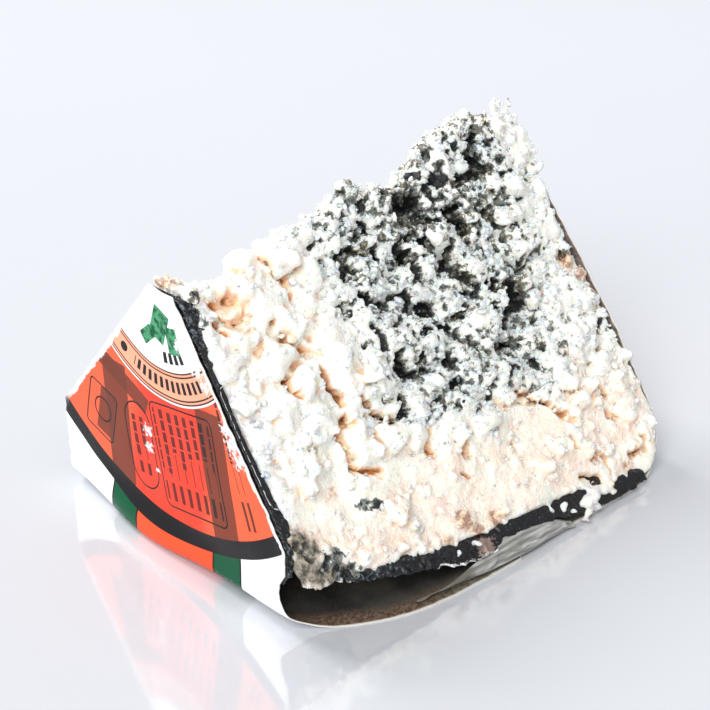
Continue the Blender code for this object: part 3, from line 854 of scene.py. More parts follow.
def scattered(places, normals, weight, kinds, breaks, sinks, rng):
    """Lumps of a few kinds, thickest where the weight is high, sunk by shares of their radius."""
    parts = []
    for (count, small, large, bias), detail in zip(kinds, BALL_DETAIL):
        chosen = rng.choice(len(places), size=count, replace=False, p=weight / weight.sum())
        sizes = mix(small, large, rng.random(count) ** bias)
        sink = rng.uniform(*sinks, size=count) * sizes
        centres = places[chosen] + normals[chosen] * sink[:, None] + rng.normal(size=(count, 3)) * 0.0002
        parts.append(lumps(centres, sizes, detail, rng, breaks=breaks))
    return parts


def joined(name, parts):
    """One mesh of a heap of parts, each as places and triangles."""
    starts = np.cumsum([0] + [len(points) for points, _ in parts[:-1]])
    faces = np.concatenate([part[1] + start for part, start in zip(parts, starts)])
    return mesh_of(name, np.concatenate([points for points, _ in parts]), faces)


def modified(mesh, kind, **settings):
    """Mesh after one modifier."""
    piece = bpy.data.objects.new("modified", mesh)
    bpy.context.scene.collection.objects.link(piece)
    modifier = piece.modifiers.new("modifier", kind)
    for name, value in settings.items():
        setattr(modifier, name, value)
    graph = bpy.context.evaluated_depsgraph_get()
    result = bpy.data.meshes.new_from_object(piece.evaluated_get(graph), depsgraph=graph)
    bpy.data.objects.remove(piece)
    bpy.data.meshes.remove(mesh)
    return result


def edge_ends(mesh):
    edges = np.empty(len(mesh.edges) * 2, dtype=np.int32)
    mesh.edges.foreach_get("vertices", edges)
    return edges.reshape(-1, 2)


def shut_in(mesh):
    """How shut in each vertex lies, from 0 in the open to 1: by walls all round, and by close ones alone."""
    points, normals = vectors(mesh, "co"), vectors(mesh, "normal")
    tree = BVHTree.FromPolygons(points.tolist(), triangles(mesh).tolist())
    turn = np.arange(RAYS) * math.pi * (3.0 - math.sqrt(5.0))
    level = 1.0 - 2.0 * (np.arange(RAYS) + 0.5) / RAYS
    flat = np.sqrt(1.0 - level * level)
    directions = np.stack([flat * np.cos(turn), flat * np.sin(turn), level], axis=1)
    facing = normals @ directions.T
    ways = [Vector(direction) for direction in directions]
    wide, close = np.zeros(len(points)), np.zeros(len(points))
    for index, (point, normal) in enumerate(zip(points, normals)):
        start = Vector(point) + Vector(normal) * RAY_START
        total = 0.0
        for ray in np.nonzero(facing[index] > RAY_FACING)[0]:
            share = facing[index, ray]
            total += share
            distance = tree.ray_cast(start, ways[ray], SHUT_REACH)[3]
            if distance is not None:
                wide[index] += share * (1.0 - 0.6 * distance / SHUT_REACH)
                close[index] += share * max(1.0 - distance / (0.3 * SHUT_REACH), 0.0)
        wide[index] /= total
        close[index] /= total
    return wide, close


def balls(rows, detail, rng, **shape):
    """Broken lumps at rows of x, y, z and radius."""
    rows = np.array(rows)
    return lumps(rows[:, :3], rows[:, 3], detail, rng, **shape)


def placed_lumps(rng):
    """The large lumps of the near cut, those above the printed face, the gravel and the foil's crumbs."""
    large = []
    for depth, down, size in BOULDERS:
        y, z = near_cut_point(down * MM)
        large.append((FACE_X + depth * MM, y + 0.25 * size * MM, z - 0.2 * size * MM, size * MM))
    large += [[number * MM for number in bit] for bit in BITS]
    parts = [balls(large, 4, rng, rough=0.20, breaks=0.55)]
    grains = []
    for depth, down, radius in dict(STAINS)["gravel"]:
        for aside, below, proud in rng.normal(size=(GRAVEL_GRAINS, 3)) * GRAVEL_SPREAD:
            y, z = near_cut_point((down + below * radius) * MM)
            place = (FACE_X + (depth + aside * radius) * MM, y - proud * MM, z)
            grains.append((*place, rng.uniform(*GRAVEL_SIZES)))
    parts.append(balls(grains, 2, rng))
    crumbs = []
    for depth, down, size in FOIL_BITS:
        y, z = near_cut_point(down * MM)
        for step in rng.normal(size=(4, 3)) * 0.5:
            place = np.array((FACE_X + depth * MM, y - FOIL_FLARE, z)) + step * size * MM
            crumbs.append((*place, size * MM * rng.uniform(0.4, 0.8)))
    parts.append(balls(crumbs, 3, rng, rough=0.12, breaks=0.8))
    return parts


def cut_places(points):
    """Depth, down and lift off the near cut of rows of places, in mm."""
    drop = AXIS_HEIGHT - points[:, 2]
    front = -NEAR_OFFSET - points[:, 1]
    sine, cosine = math.sin(CUT_ANGLE), math.cos(CUT_ANGLE)
    down, lift = front * sine + drop * cosine, front * cosine - drop * sine
    return np.stack([points[:, 0] - FACE_X, down, lift], axis=1) / MM


def stained(places, ragged, spots):
    """How strongly each place lies in one of some ragged spots of the near cut, from 0 to 1."""
    strongest = np.zeros(len(places))
    for depth, down, radius in spots:
        distance = np.hypot(places[:, 0] - depth, places[:, 1] - down) / radius + 0.35 * ragged
        strongest = np.maximum(strongest, np.clip((1.25 - distance) / 0.5, 0.0, 1.0))
    return strongest * (places[:, 2] > -STAIN_REACH)


def creases(mesh):
    """How far each vertex lies in a crease, above 0, or on the crown of a crumb, below 0."""
    points, normals = vectors(mesh, "co"), vectors(mesh, "normal")
    formed = smoothed(points, edge_ends(mesh), CREASE_ROUNDS)
    return np.clip(np.einsum("ij,ij->i", formed - points, normals) / CREASE_DEPTH, -1.0, 1.0)


def heap(rng):
    """The wedge's form and all its lumps, ready to be fused."""
    mesh = core()
    places, normals = vectors(mesh, "co"), vectors(mesh, "normal")
    mould = np.array([mould_share(Vector(place)) for place in places])
    clusters = np.array([ease(-0.10, 0.30, noise.noise(Vector(place) / CLUSTER_SIZE)) for place in places])
    loose = np.where(down_the_cut(places[:, 2]) > SMOOTH_DOWN, 0.05 + 0.8 * clusters, 1.0)
    cuts = (np.abs(normals[:, 1]) > FACING_SIDE) & (places[:, 2] > 0.009) | (places[:, 2] > 0.07)
    cuts = cuts & (places[:, 0] > FACE_X + CHEESE_START + 0.0025)
    parts = [(places, triangles(mesh))]
    parts += scattered(places, normals, cuts * (0.01 + mould), *MOULD_LUMPS, rng)
    parts += scattered(places, normals, cuts * (1.0 - 0.9 * mould) * loose, *CREAM_LUMPS, rng)
    return parts + placed_lumps(rng)


def paste_grain(point, mould):
    """Height of the finest relief, which is rougher in the mould."""
    height = noise.noise(point / GRAIN_SIZE) * mix(*GRAIN_HEIGHTS, mould)
    return height + (0.5 - noise.voronoi(point / GRIT_SIZE)[0][0]) * mix(*GRIT_HEIGHTS, mould)


def add_cheese():
    """The wedge itself: its form with the lumps fused in, its clefts cut again, its colours stored."""
    rng = np.random.default_rng(bpy.context.scene.cheese_paste.seed)
    mesh = modified(joined("heap", heap(rng)), "REMESH", mode="VOXEL", voxel_size=VOXEL)
    points = vectors(mesh, "co")
    mould = np.array([mould_share(Vector(point)) for point in points])
    soft = smoothed(points, edge_ends(mesh), 2)
    move(mesh, points + (soft - points) * np.clip(1.0 - 1.4 * mould, 0.1, SOFTNESS)[:, None])
    mesh = modified(mesh, "DECIMATE", ratio=BODY_TRIANGLES / len(triangles(mesh)))
    mesh.name = "cheese_body"
    points = [Vector(point) for point in vectors(mesh, "co")]
    near = [ease(*AGAIN_LIFTS, lift) for lift in cut_places(vectors(mesh, "co"))[:, 2]]
    clefts, pits = [
        np.array([dug(point, lines) * share if share else 0.0 for point, share in zip(points, near)])
        for lines in (CRACKS, HOLLOWS)
    ]
    inward = Vector((0.0, math.cos(CUT_ANGLE), -math.sin(CUT_ANGLE)))
    again = CLEFT_AGAIN * clefts + PIT_AGAIN * pits
    points = [keep_inside(point + inward * deep) for point, deep in zip(points, again)]
    move(mesh, points)
    mould = [mould_share(point) for point in points]
    for index, normal in enumerate(vectors(mesh, "normal")):
        grain = paste_grain(points[index], mould[index])
        points[index] = keep_inside(points[index] + Vector(normal) * grain)
    move(mesh, points)
    mesh.shade_smooth()
    wide, close = shut_in(mesh)
    downs = np.array([down_the_cut(point.z) for point in points])
    store(mesh, "mould", mould)
    # shut_in, creased, cleft and pit drive the paste's painted shade
    store(mesh, "shut_in", wide)
    store(mesh, "creased", close + 0.6 * creases(mesh))
    store(mesh, "cleft", np.clip(clefts / CLEFT_FULL, 0.0, 1.0))
    store(mesh, "pit", np.clip(pits / PIT_FULL, 0.0, 1.0))
    store(mesh, "blush", np.clip((downs - BLUSH_DOWN) / BLUSH_RUN, 0.0, 1.0))
    ragged = np.array([sum(noise.noise(point / size) for size in STAIN_GRAINS) for point in points])
    places = cut_places(np.array(points))
    for kind, spots in STAINS:
        store(mesh, kind, stained(places, ragged, spots))
    return add_piece(mesh, "cheese_body", [paste_material()], ["cheese"])


class CHEESE_OT_paste(bpy.types.Operator):
    """Adds the cheese"""

    bl_idname = "cheese.paste"
    bl_label = "Cheese"

    def execute(self, context):
        add_cheese()
        return {"FINISHED"}


def wrapper_path():
    """Outer line of the wrapper, as depth and height, down the face, under the base and up behind."""
    heel = THICKNESS - FAR_RADIUS
    path = [(0.0, mix(PANEL_TOP, FRONT_RISE, row / FACE_ROWS)) for row in range(FACE_ROWS)]
    for row in range(FRONT_ROWS):
        turn = math.radians(90) * row / FRONT_ROWS
        path.append((FRONT_RUN * (1.0 - math.cos(turn)), FRONT_RISE * (1.0 - math.sin(turn))))
    path += [(mix(FRONT_RUN, heel, row / BASE_ROWS), 0.0) for row in range(BASE_ROWS)]
    for row in range(HEEL_ROWS):
        turn = math.radians(90) * row / HEEL_ROWS
        path.append((heel + FAR_RADIUS * math.sin(turn), FAR_RADIUS * (1.0 - math.cos(turn))))
    heights = [mix(FAR_RADIUS, FAR_TOP, row / FAR_ROWS) for row in range(FAR_ROWS + 1)]
    return path + [(far_depth(height), height) for height in heights]


def spread(depth):
    """Half-width of the base at a depth."""
    run = max(depth - SPREAD_START, 0.0) / SPREAD_RUN
    return mix(CORNER_WIDTH, BASE_WIDTH, 1.0 - math.exp(-run ** SPREAD_POWER))


def wrapper_sides(depth, height):
    """Near and back edge of the wrapper, as y, at a point of its path."""
    near_line = -near_cut_y(height)
    if depth > THICKNESS / 2:
        back_line = BASE_WIDTH - FAR_BACK_LEAN * height
        proud = mix(-FAR_INSET, FAR_PROUD, ease(0.014, 0.040, height))
        return -min(near_line, BASE_WIDTH) - proud, min(back_line, BASE_WIDTH)
    back_line = FACE_BACK_LEAN * (AXIS_HEIGHT - height) - FACE_BACK_INSET
    foot = mix(NEAR_FOOT, CORNER_WIDTH, ease(NEAR_FOOT_LOW, NEAR_FOOT_HIGH, height))
    reach = mix(foot, BASE_WIDTH, 1.0 - math.exp(-(depth / NEAR_RUN) ** NEAR_POWER))
    flare = CORNER_FLARE * ease(0.012, 0.018, height)
    return -min(near_line, reach + flare), min(back_line, spread(depth))


def sheet_grid(name, rows, columns, place):
    """Sheet of quads: place gives the point for each row and each share across it."""
    points, faces = [], []
    for row in range(rows):
        for column in range(columns):
            points.append(place(row, column / (columns - 1)))
    for row in range(rows - 1):
        for column in range(columns - 1):
            corner = row * columns + column
            faces.append((corner, corner + 1, corner + columns + 1, corner + columns))
    mesh = bpy.data.meshes.new(name)
    mesh.from_pydata(points, [], faces)
    mesh.shade_smooth()
    mesh.update()
    return mesh


def thicken(piece, thickness, inner_slot=0, edge_slot=0, even=True):
    """Gives a sheet its thickness on the inner side."""
    shell = piece.modifiers.new("thickness", "SOLIDIFY")
    shell.thickness = thickness
    shell.offset = -1.0
    shell.use_even_offset = even
    shell.material_offset = inner_slot
    shell.material_offset_rim = edge_slot


def print_pattern(graph, y, v):
    """Fields, rings, boxes and bars of the print, for a place on the unrolled sheet in mm."""
    colours = bpy.context.scene.cheese_print
    white, black = colours.white, colours.black
    radius = hypotenuse(y, v) / (DISC / MM)
    turn = y.math("ARCTAN2", v * -1.0).math("DEGREES")
    rim_turn = (y / (DISC / MM)).math("ARCSINE").math("DEGREES")

    def inside(share):
        return radius.ramp(share + PRINT_EDGE, share - PRINT_EDGE)

    def blocks(pitch, filled, radii, sweep, soft):
        beat = (turn / pitch).math("FRACT")
        return beat.within(*filled, 0.03) * radius.within(*radii, PRINT_EDGE) * turn.within(*sweep, soft)

    paint = white
    for low, high, colour in RIM_BANDS:
        paint = rim_turn.within(low - RIM_LINE, high + RIM_LINE, 0.06).blend(paint, black)
        paint = rim_turn.within(low, high, 0.06).blend(paint, getattr(colours, colour))
    paint = inside(1.0).blend(paint, black)
    glow = box(y, v, *RED_GLOW) + graph.grain(0.012) * 3.0
    field = glow.ramp(5.0, -3.0).blend(colours.orange, colours.red)
    for middle, half, angle in BROWN_BANDS:
        field = (box(y, v, middle, half, angle, 0.5).ramp(0.15, -0.15) * 0.92).blend(field, colours.brown)
    marks = [abs(box(y, v, *outline)).ramp(0.30, 0.18) for outline in PRINTED_BOXES]
    for middle, (half_across, half_up), angle, pitch, share in PRINTED_LINES:
        across, up = turned(y, v, middle, angle)
        chance = graph.add("TexWhiteNoise", {"W": (across / pitch).math("FLOOR")}, noise_dimensions="1D")
        beat = (across / pitch).math("FRACT")
        start, length = up + half_up, (chance * 0.6 + 0.7) * (half_up * share)
        words = (up * 0.31 + chance * 7.0).math("FRACT").ramp(0.10, 0.16)
        words = words * start.ramp(0.05, 0.25) * start.ramp(length, length - 0.2)
        bars = beat.within(0.26, 0.74, 0.05) * words
        ends = beat.within(0.28, 0.72, 0.05) * up.within(half_up * 0.55, half_up * 0.95, 0.1)
        rule = beat.within(0.44, 0.56, 0.04) * up.within(-half_up * 0.1, half_up * 0.45, 0.1)
        marks.append(most([bars, ends, rule]) * abs(across).ramp(half_across + 0.1, half_across - 0.1) * 0.85)
    field = most(marks).blend(field, black)
    paint = inside(FIELD_END).blend(paint, field)
    paint = inside(RING_START).blend(paint, white)
    ring = colours.peach
    for line in RING_LINES:
        ring = radius.within(line - RING_LINE, line + RING_LINE, PRINT_EDGE).blend(ring, black)
    stop = hypotenuse(y - RING_STOP[0], v - RING_STOP[1]).ramp(1.5, 1.3)
    ring = most([blocks(*RING_BLOCKS), stop]).blend(ring, black)
    paint = inside(RING_END).blend(paint, ring)
    centre = blocks(*CENTRE_BLOCKS).blend(white, black)
    lozenge = graph.grain(0.0022, 3.0, 0.6).ramp(0.40, 0.60).blend(colours.green, colours.leaf)
    for middle, size, angle in LOZENGES:
        centre = box(y, v, middle, (size, size * 1.5), angle, 0.4).ramp(0.1, -0.1).blend(centre, lozenge)
    return inside(CENTRE_END).blend(paint, centre)


def print_material():
    """Satin printed paper, scuffed and torn white along its cut edges."""
    white = bpy.context.scene.cheese_print.white
    graph = Graph("printed_paper")
    place = graph.add("Attribute", output="Vector", attribute_name="print_place")
    y, v, front = [place.axis(number) for number in range(3)]
    fibre = graph.grain(0.0011, 4.0, 0.7)
    broad = graph.grain(0.005)
    near = graph["near_edge"] - broad * 2.2 + fibre * 1.6
    back = graph["back_edge"] - broad * 3.6 + fibre * 2.4
    dust = graph.grain(0.0007, 3.0, 0.8).ramp(0.74, 0.80) * 0.5
    worn = [near.ramp(1.1, 0.5), back.ramp(1.4, 0.7) * v.ramp(-55.0, -47.0), dust]
    for middle, radius in SCUFFS:
        spot = hypotenuse(y - middle[0], v - middle[1]) / radius + fibre * 3.4
        worn.append(spot.ramp(2.40, 2.00) * front)
    scuffed = most(worn)
    paint = scuffed.blend(print_pattern(graph, y, v), broad.blend(white, [c * 0.9 for c in white]))
    height = fibre * 0.00002 + broad * 0.00012 - scuffed * 0.00008
    graph.shader.inputs["Specular IOR Level"].default_value = 0.18
    return graph.finish(paint, scuffed * 0.3 + 0.5, height, 0.7)


def inside_material():
    """Dark foil on the wrapper's inner side, stained brown and grey towards its edge."""
    graph = Graph("stained_foil")
    x = graph.place().axis(0)
    cloud = graph.grain(0.014, 3.0)
    mottle = graph.grain(0.0009, 4.0, 0.75)
    brown = mottle.ramp(0.42, 0.60).blend(linear(74, 58, 46), linear(128, 106, 88))
    grey = mottle.ramp(0.35, 0.65).blend(linear(84, 82, 74), linear(118, 114, 100))
    strip = mottle.ramp(0.40, 0.62).blend(linear(96, 86, 82), linear(152, 138, 130))
    rim = x.ramp(-0.036, -0.012).blend(brown, grey)
    rim = x.ramp(0.030, 0.045).blend(rim, strip)
    edge = graph["near_edge"] + (cloud - 0.5) * 9.0 + (mottle - 0.5) * 4.0
    colour = cloud.ramp(0.35, 0.65).blend(linear(38, 38, 38), linear(70, 69, 65))
    colour = edge.ramp(8.0, 1.5).blend(colour, rim)
    colour = graph["near_edge"].ramp(0.8, 0.3).blend(colour, linear(196, 192, 182))
    return graph.finish(colour, 0.38, cloud * 0.0008 + mottle * 0.0003, 0.8)


def paper_edge_material():
    """Pale fibres of the torn edge."""
    graph = Graph("torn_paper_edge")
    fibre = graph.grain(0.0008, 3.0, 0.7)
    return graph.finish(fibre.blend(linear(208, 205, 198), linear(240, 238, 233)), 0.85, fibre * 0.0002, 0.6)


def add_wrapper():
    """The printed sheet, down the face, under the base and up the far face, torn along its edges."""
    path = wrapper_path()
    lengths = [0.0]
    for (d0, h0), (d1, h1) in zip(path, path[1:]):
        lengths.append(lengths[-1] + math.hypot(d1 - d0, h1 - h0))
    last = len(path) - 1
    unrolled, near_edge, back_edge = [], [], []

    def place(row, share):
        depth, height = path[row]
        near, back = wrapper_sides(depth, height)
        seed = Vector((depth, 0.0, height))
        foot = bump(mix(near, back, share) - FOOT_MIDDLE, FOOT_WIDTH)
        near += TEAR * noise.noise(seed / 0.0022) * (0.4 if height < 0.004 else 1.0)
        back += TEAR * noise.noise(seed / 0.0025 + Vector((3.0, 0.0, 0.0)))
        y = mix(near, back, share)
        near_edge.append((y - near) / MM)
        back_edge.append((back - y) / MM)
        curl = bump(depth - 0.0015, 0.005) * (1.0 - ease(0.006, 0.016, height))
        height += CURL_RISE * curl * math.exp(-(y - near) / 0.006)
        if row in (0, last):
            height += SAG_HEIGHT * ripple(SAG_SIZE, depth, y, 0.0)
        from_near = PANEL_TOP - AXIS_HEIGHT - lengths[row]
        from_far = FAR_TOP - AXIS_HEIGHT - (lengths[-1] - lengths[row])
        unrolled.append((y / MM, max(from_near, from_far) / MM, 1.0 if from_near > from_far else 0.0))
        wave = 0.00025 * ripple(0.012, depth, y, height)
        lift = wave if height > 0.004 else 0.0
        outward = -1.0 if depth < THICKNESS / 2 else 1.0
        if depth < FRONT_RUN and height < FRONT_RISE:
            height *= mix(1.0, FOOT_RISE / FRONT_RISE, foot)
            depth *= mix(1.0, FOOT_RUN / FRONT_RUN, foot)
        if outward < 0.0:
            low = (1.0 - ease(0.004, FOOT_HEIGHT, height)) * (1.0 - ease(0.0, 0.020, depth))
            depth -= FOOT_PROUD * foot * low
        return FACE_X + depth + outward * lift, y, height

    mesh = sheet_grid("wrapper_sheet", len(path), SHEET_COLUMNS, place)
    layer = mesh.attributes.new("print_place", "FLOAT_VECTOR", "POINT")
    layer.data.foreach_set("vector", np.array(unrolled, dtype=np.float32).ravel())
    store(mesh, "near_edge", near_edge)
    store(mesh, "back_edge", back_edge)
    surfaces = [print_material(), inside_material(), paper_edge_material()]
    sheet = add_piece(mesh, "wrapper_sheet", surfaces, ["wrapper"])
    thicken(sheet, SHEET_SHOWN, 1, 2)
    return sheet


def foil_material():
    """Black crumpled foil with grey mould specks and painted blue-grey glints, and white shreds, where its
    values say so.
    """
    graph = Graph("crumpled_foil")
    layer = graph["layer"]
    fold = graph.cells(0.0022)
    small = graph.grain(0.0006, 3.0, 0.7)
    specks_and_glints = graph.grain(0.0011, 4.0, 0.7) + small * 0.5 + graph["mould_and_glints"] * 0.11
    seam = layer.ramp(0.26, 0.29) * layer.ramp(0.37, 0.34) * graph.grain(0.0012).ramp(0.40, 0.46)
    frayed = graph["frayed"] + small * 0.9 + fold * 0.5
    brown = graph["flap"] + small * 1.6 - fold * 0.6
    # blue-grey spots: mould specks, and painted glints that stand for the glossy foil's highlights
    colour = (specks_and_glints.ramp(0.88, 1.04) * 0.9).blend(linear(15, 15, 17), linear(104, 116, 126))
    colour = (seam * 0.9).blend(colour, linear(226, 226, 228))
    colour = frayed.ramp(1.44, 1.52).blend(colour, linear(228, 228, 226))
    colour = (brown.ramp(1.05, 1.30) * 0.8).blend(colour, linear(150, 128, 118))
    return graph.finish(colour, 0.26, fold * 0.0007 + small * 0.0003, 0.7)


def add_foil_lining():
    """Folded layers of dark foil behind the printed face, filling the slot up to the near cut."""
    bm = cube_grid(*LINING_CELLS)
    mould_and_glints, layers = [], []
    for vert in bm.verts:
        layer, across, up = vert.co
        height = mix(LINING_FOOT, PANEL_TOP - LINING_DROP, up)
        near, back = wrapper_sides(0.0, height)
        y = mix(near - FOIL_PROUD, back, across)
        reach = (y - near) / 0.0035
        fold = between(height / MM, LINING_FOLD)[0] * MM
        thick = mix(LINING, fold, math.exp(-max(reach, 0.0)))
        point = Vector((FACE_X + SHEET + LINING_GAP + thick * layer, y, height))
        loose = max(ease(0.060, 0.068, height), 1.0 - ease(0.024, 0.036, height))
        if across < 0.2:
            ridge = math.sin((height + 1.2 * thick * layer) / 0.00035)
            point.y += mix(0.0003, 0.0010, loose) * noise.noise(point / 0.0016) + 0.00012 * ridge
            point.x += mix(0.0002, 0.0009, loose) * noise.noise(point / 0.0020) * layer
        # the loose, crumpled parts carry mould specks and painted glints
        mould_and_glints.append(loose)
        layers.append(layer * ease(0.030, 0.034, height) * (1.0 - ease(0.055, 0.058, height)))
        vert.co = point
    mesh = bpy.data.meshes.new("foil_layers")
    bm.to_mesh(mesh)
    bm.free()
    mesh.shade_smooth()
    store(mesh, "mould_and_glints", mould_and_glints)
    store(mesh, "layer", layers)
    return add_piece(mesh, "foil_layers", [foil_material()], ["foil_lining"])


def strip(name, table, cells, surface, thickness, place):
    """Thin sheet that follows a table of depths, as a piece of the foil."""
    start, end = table[0][0], table[-1][0]
    rows, columns = cells

    def at(row, share):
        depth = mix(start, end, row / (rows - 1))
        y, z = place(depth, share, *between(depth, table))
        return FACE_X + depth * MM, y, max(z, SHEET + FOIL_CLEAR)

    piece = add_piece(sheet_grid(name, rows, columns, at), name, [surface])
    thicken(piece, thickness, even=False)
    return piece


def add_rim_foil():
    """Band of the dark foil that hangs from under the paste, along the lower edge of the near cut."""
    mould_and_glints, frayed, flap = [], [], []

    def place(depth, share, upper, lower):
        left = 1.0 - ease(56.0, 64.0, depth)
        ragged = ripple(2.6, depth, 0.0, 0.0) + 0.6 * ripple(1.0, depth, 4.0, 0.0)
        down = mix(upper * MM - FOIL_TUCK, (lower + ragged * mix(0.60, 0.8, left)) * MM, share)
        crumple = ripple(2.0, depth, down / MM, 0.0) + 0.8 * ripple(0.8, depth, down / MM, 9.0)
        lift = mix(-0.0030, FOIL_FLARE, ease(0.0, 0.7, share))
        lift += crumple * FOIL_CRUMPLE * mix(0.4, 1.0, left) * share
        # mould specks and painted glints fade out towards the far face
        mould_and_glints.append(1.0 - ease(26.0, 38.0, depth))
        frayed.append(ease(0.86, 0.97, share) * ease(34.0, 40.0, depth) * (1.0 - ease(56.0, 60.0, depth)))
        flap.append(bump(depth - 54.5, 3.6) * ease(0.45, 0.65, share))
        y, z = near_cut_point(down)
        return y - lift * math.cos(CUT_ANGLE), z + lift * math.sin(CUT_ANGLE)

    band = strip("rim_foil", FOIL_BAND, BAND_CELLS, bpy.data.materials["crumpled_foil"], BAND_SHOWN, place)
    for name, values in (("mould_and_glints", mould_and_glints), ("frayed", frayed), ("flap", flap)):
        store(band.data, name, values)
    return band


def film_material():
    """Grey greasy film with pale streaks along its folds."""
    graph = Graph("grey_film")
    x, y, z = [graph.place().axis(number) for number in range(3)]
    streak = graph.grain(0.0016, 3.0, place=graph.add("CombineXYZ", [x * 0.12, y, z * 1.4]))
    colour = streak.ramp(0.34, 0.74).blend(linear(118, 117, 111), linear(198, 200, 198))
    colour = (x * 18.0 + graph.grain(0.011)).ramp(0.42, 0.02).blend(colour, linear(104, 100, 90))
    return graph.finish(colour, 0.30, streak * 0.0006 + graph.grain(0.0012) * 0.0001, 0.8)


def add_film():
    """Fold of greasy film that joins the foil band to the wrapper's lower edge on the right."""
    start, end = FILM[0][0], FILM[-1][0]

    def place(depth, share, low_y, down):
        upper_y, upper_z = near_cut_point(down * MM)
        rise = share * ease(start - 2.0, start + 22.0, depth)
        y = mix(low_y * MM, upper_y, rise) - 0.0012 * math.sin(math.pi * rise)
        y += 0.0011 * ripple(1.0, depth / 5.0, share * 2.0, 3.0) * math.sin(math.pi * share)
        closing = 1.0 - bump(depth - end, 3.0) * 0.5
        return y, mix(SHEET + 0.0006, upper_z, rise) * closing

    return strip("film_fold", FILM, FILM_CELLS, film_material(), FILM_SHOWN, place)


def add_grit(body, name, side, seed):
    """Loose crumbs of about 0.5 to 2 mm on one cut, thickest in the mould."""
    rng = np.random.default_rng(seed)
    mesh = body.data
    places, normals = vectors(mesh, "co"), vectors(mesh, "normal")
    values = {}
    for layer in ("mould", "shut_in", "creased", "cleft", "pit", "blush", *dict(STAINS)):
        values[layer] = np.empty(len(places))
        mesh.attributes[layer].data.foreach_get("value", values[layer])
    cut = ((normals[:, 1] * side > FACING_SIDE) | (normals[:, 2] > FACING_UP)) & (places[:, 2] > 0.010)
    weight = cut * (0.4 + values["mould"]) * (1.0 - 0.8 * values["cleft"])
    parts, owners = [], []
    for share, detail, small, large in GRIT_KINDS:
        count = int(bpy.context.scene.cheese_paste.grit * share)
        chosen = rng.choice(len(places), size=count, replace=False, p=weight / weight.sum())
        sizes = mix(small, large, rng.random(count) ** 2.0)
        centres = places[chosen] + normals[chosen] * (sizes * rng.uniform(-0.2, 0.6, count))[:, None]
        parts.append(lumps(centres, sizes, detail, rng))
        owners.append(np.repeat(chosen, len(parts[-1][0]) // count))
    grit = joined(name, parts)
    owners = np.concatenate(owners)
    # the crumbs take the body's values where they sit, with its painted shade weakened
    for layer, value in values.items():
        store(grit, layer, value[owners] * (0.7 if layer in ("shut_in", "creased") else 1.0))
    return add_piece(grit, name, [mesh.materials[0]])


class CHEESE_OT_wrapper(bpy.types.Operator):
    """Adds the printed wrapper"""

    bl_idname = "cheese.wrapper"
    bl_label = "Wrapper"

    def execute(self, context):
        add_wrapper()
        return {"FINISHED"}


class CHEESE_OT_foil(bpy.types.Operator):
    """Adds the dark foil behind the printed face, its band under the paste and the film"""

    bl_idname = "cheese.foil"
    bl_label = "Foil"

    def execute(self, context):
        add_foil_lining()
        add_rim_foil()
        add_film()
        return {"FINISHED"}


class CHEESE_OT_crumbs(bpy.types.Operator):
    """Adds the loose crumbs of both cuts"""

    bl_idname = "cheese.crumbs"
    bl_label = "Crumbs"

    def execute(self, context):
        body = bpy.data.objects["cheese_body"]
        add_grit(body, "near_crumbs", side=-1.0, seed=11)
        add_grit(body, "back_crumbs", side=1.0, seed=12)
        return {"FINISHED"}


def add_light(name, power, size, place):
    """Square softbox that faces the wedge's middle."""
    data = bpy.data.lights.new(name, "AREA")
    data.energy = power
    data.size = size
    light = bpy.data.objects.new(name, data)
    light.location = place
    light.rotation_euler = (Vector(LIGHTS_TARGET) - Vector(place)).to_track_quat("-Z", "Y").to_euler()
    bpy.context.scene.collection.objects.link(light)


def floor_material():
    """Glossy pale floor, with painted light: lighter towards the back, standing for the lamps' falloff."""
    near = bpy.context.scene.cheese_stage.floor
    graph = Graph("pale_floor")
    # painted light: the floor's colour brightens by a fifth towards the back
    behind = graph.place().axis(0) * 0.67 + graph.place().axis(1) * 0.74 + graph.grain(0.09) * 0.05
    graph.shader.inputs["Specular IOR Level"].default_value = 0.0
    graph.shader.inputs["Coat Weight"].default_value = 1.0
    graph.shader.inputs["Coat Roughness"].default_value = 0.08
    graph.shader.inputs["Coat IOR"].default_value = 2.3
    return graph.finish(behind.ramp(-0.15, 0.50).blend(near, [c * 1.20 for c in near]), 0.5)


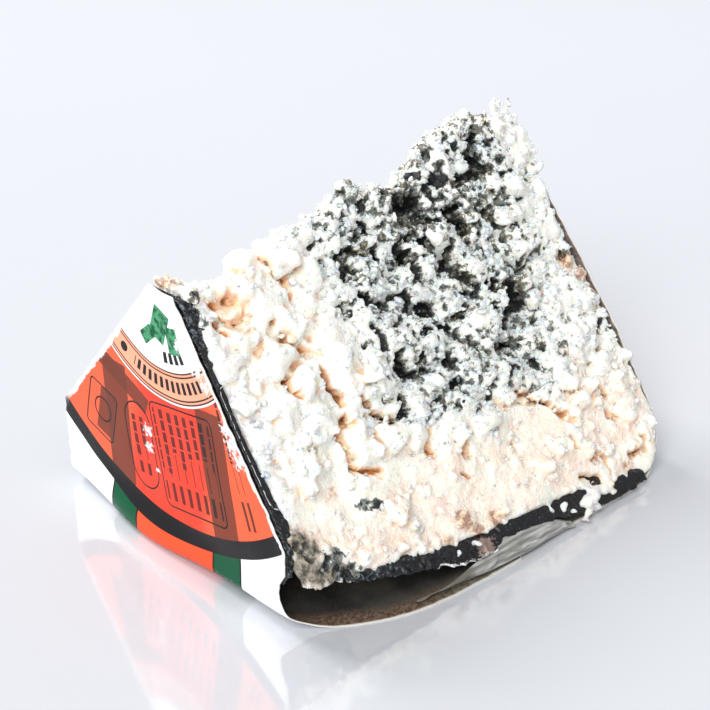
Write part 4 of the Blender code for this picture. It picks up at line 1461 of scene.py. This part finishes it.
class CHEESE_OT_stage(bpy.types.Operator):
    """Adds the floor, the lights and the camera"""

    bl_idname = "cheese.stage"
    bl_label = "Stage"

    def execute(self, context):
        settings = context.scene.cheese_stage
        mesh = bpy.data.meshes.new("floor")
        bm = bmesh.new()
        bmesh.ops.create_circle(bm, cap_ends=True, segments=96, radius=FLOOR_RADIUS)
        bm.to_mesh(mesh)
        bm.free()
        mesh.materials.append(floor_material())
        floor = bpy.data.objects.new("floor", mesh)
        context.scene.collection.objects.link(floor)
        world = bpy.data.worlds.new("pale_room")
        world.use_nodes = True
        background = world.node_tree.nodes["Background"]
        background.inputs["Color"].default_value = (*settings.sky, 1.0)
        background.inputs["Strength"].default_value = settings.sky_strength
        context.scene.world = world
        add_light("key_light", settings.key_power, *KEY_LIGHT)
        add_light("fill_light", settings.fill_power, *FILL_LIGHT)
        data = bpy.data.cameras.new("camera")
        data.lens = settings.lens
        data.sensor_width = 36.0
        data.clip_start = 0.01
        camera = bpy.data.objects.new("camera", data)
        camera.location = CAMERA_PLACE
        camera.rotation_euler = [math.radians(degrees) for degrees in CAMERA_TURN]
        context.scene.collection.objects.link(camera)
        context.scene.camera = camera
        context.scene.view_settings.view_transform = "Standard"
        return {"FINISHED"}


class CHEESE_PT_panel(bpy.types.Panel):
    """Lists the wedge's pieces and settings"""

    bl_label = "Cheese wedge"
    bl_idname = "CHEESE_PT_panel"
    bl_space_type = "VIEW_3D"
    bl_region_type = "UI"
    bl_category = "Cheese"

    def draw(self, context):
        for piece in PIECES:
            self.layout.operator(piece.bl_idname)
        for group in (context.scene.cheese_paste, context.scene.cheese_print, context.scene.cheese_stage):
            for name in group.bl_rna.properties.keys():
                if name not in ("rna_type", "name"):
                    self.layout.prop(group, name)


SETTINGS = {"cheese_paste": PasteSettings, "cheese_print": PrintSettings, "cheese_stage": StageSettings}
PIECES = (CHEESE_OT_paste, CHEESE_OT_crumbs, CHEESE_OT_wrapper, CHEESE_OT_foil, CHEESE_OT_stage)


def register():
    for group in (*SETTINGS.values(), *PIECES, CHEESE_PT_panel):
        bpy.utils.register_class(group)
    for name, group in SETTINGS.items():
        setattr(bpy.types.Scene, name, PointerProperty(type=group))


def unregister():
    for name in SETTINGS:
        delattr(bpy.types.Scene, name)
    for group in (CHEESE_PT_panel, *reversed(PIECES), *SETTINGS.values()):
        bpy.utils.unregister_class(group)


def main():
    """Adds every piece in order."""
    register()
    bpy.ops.cheese.paste()
    bpy.ops.cheese.crumbs()
    bpy.ops.cheese.wrapper()
    bpy.ops.cheese.foil()
    bpy.ops.cheese.stage()


if __name__ == "__main__":
    main()
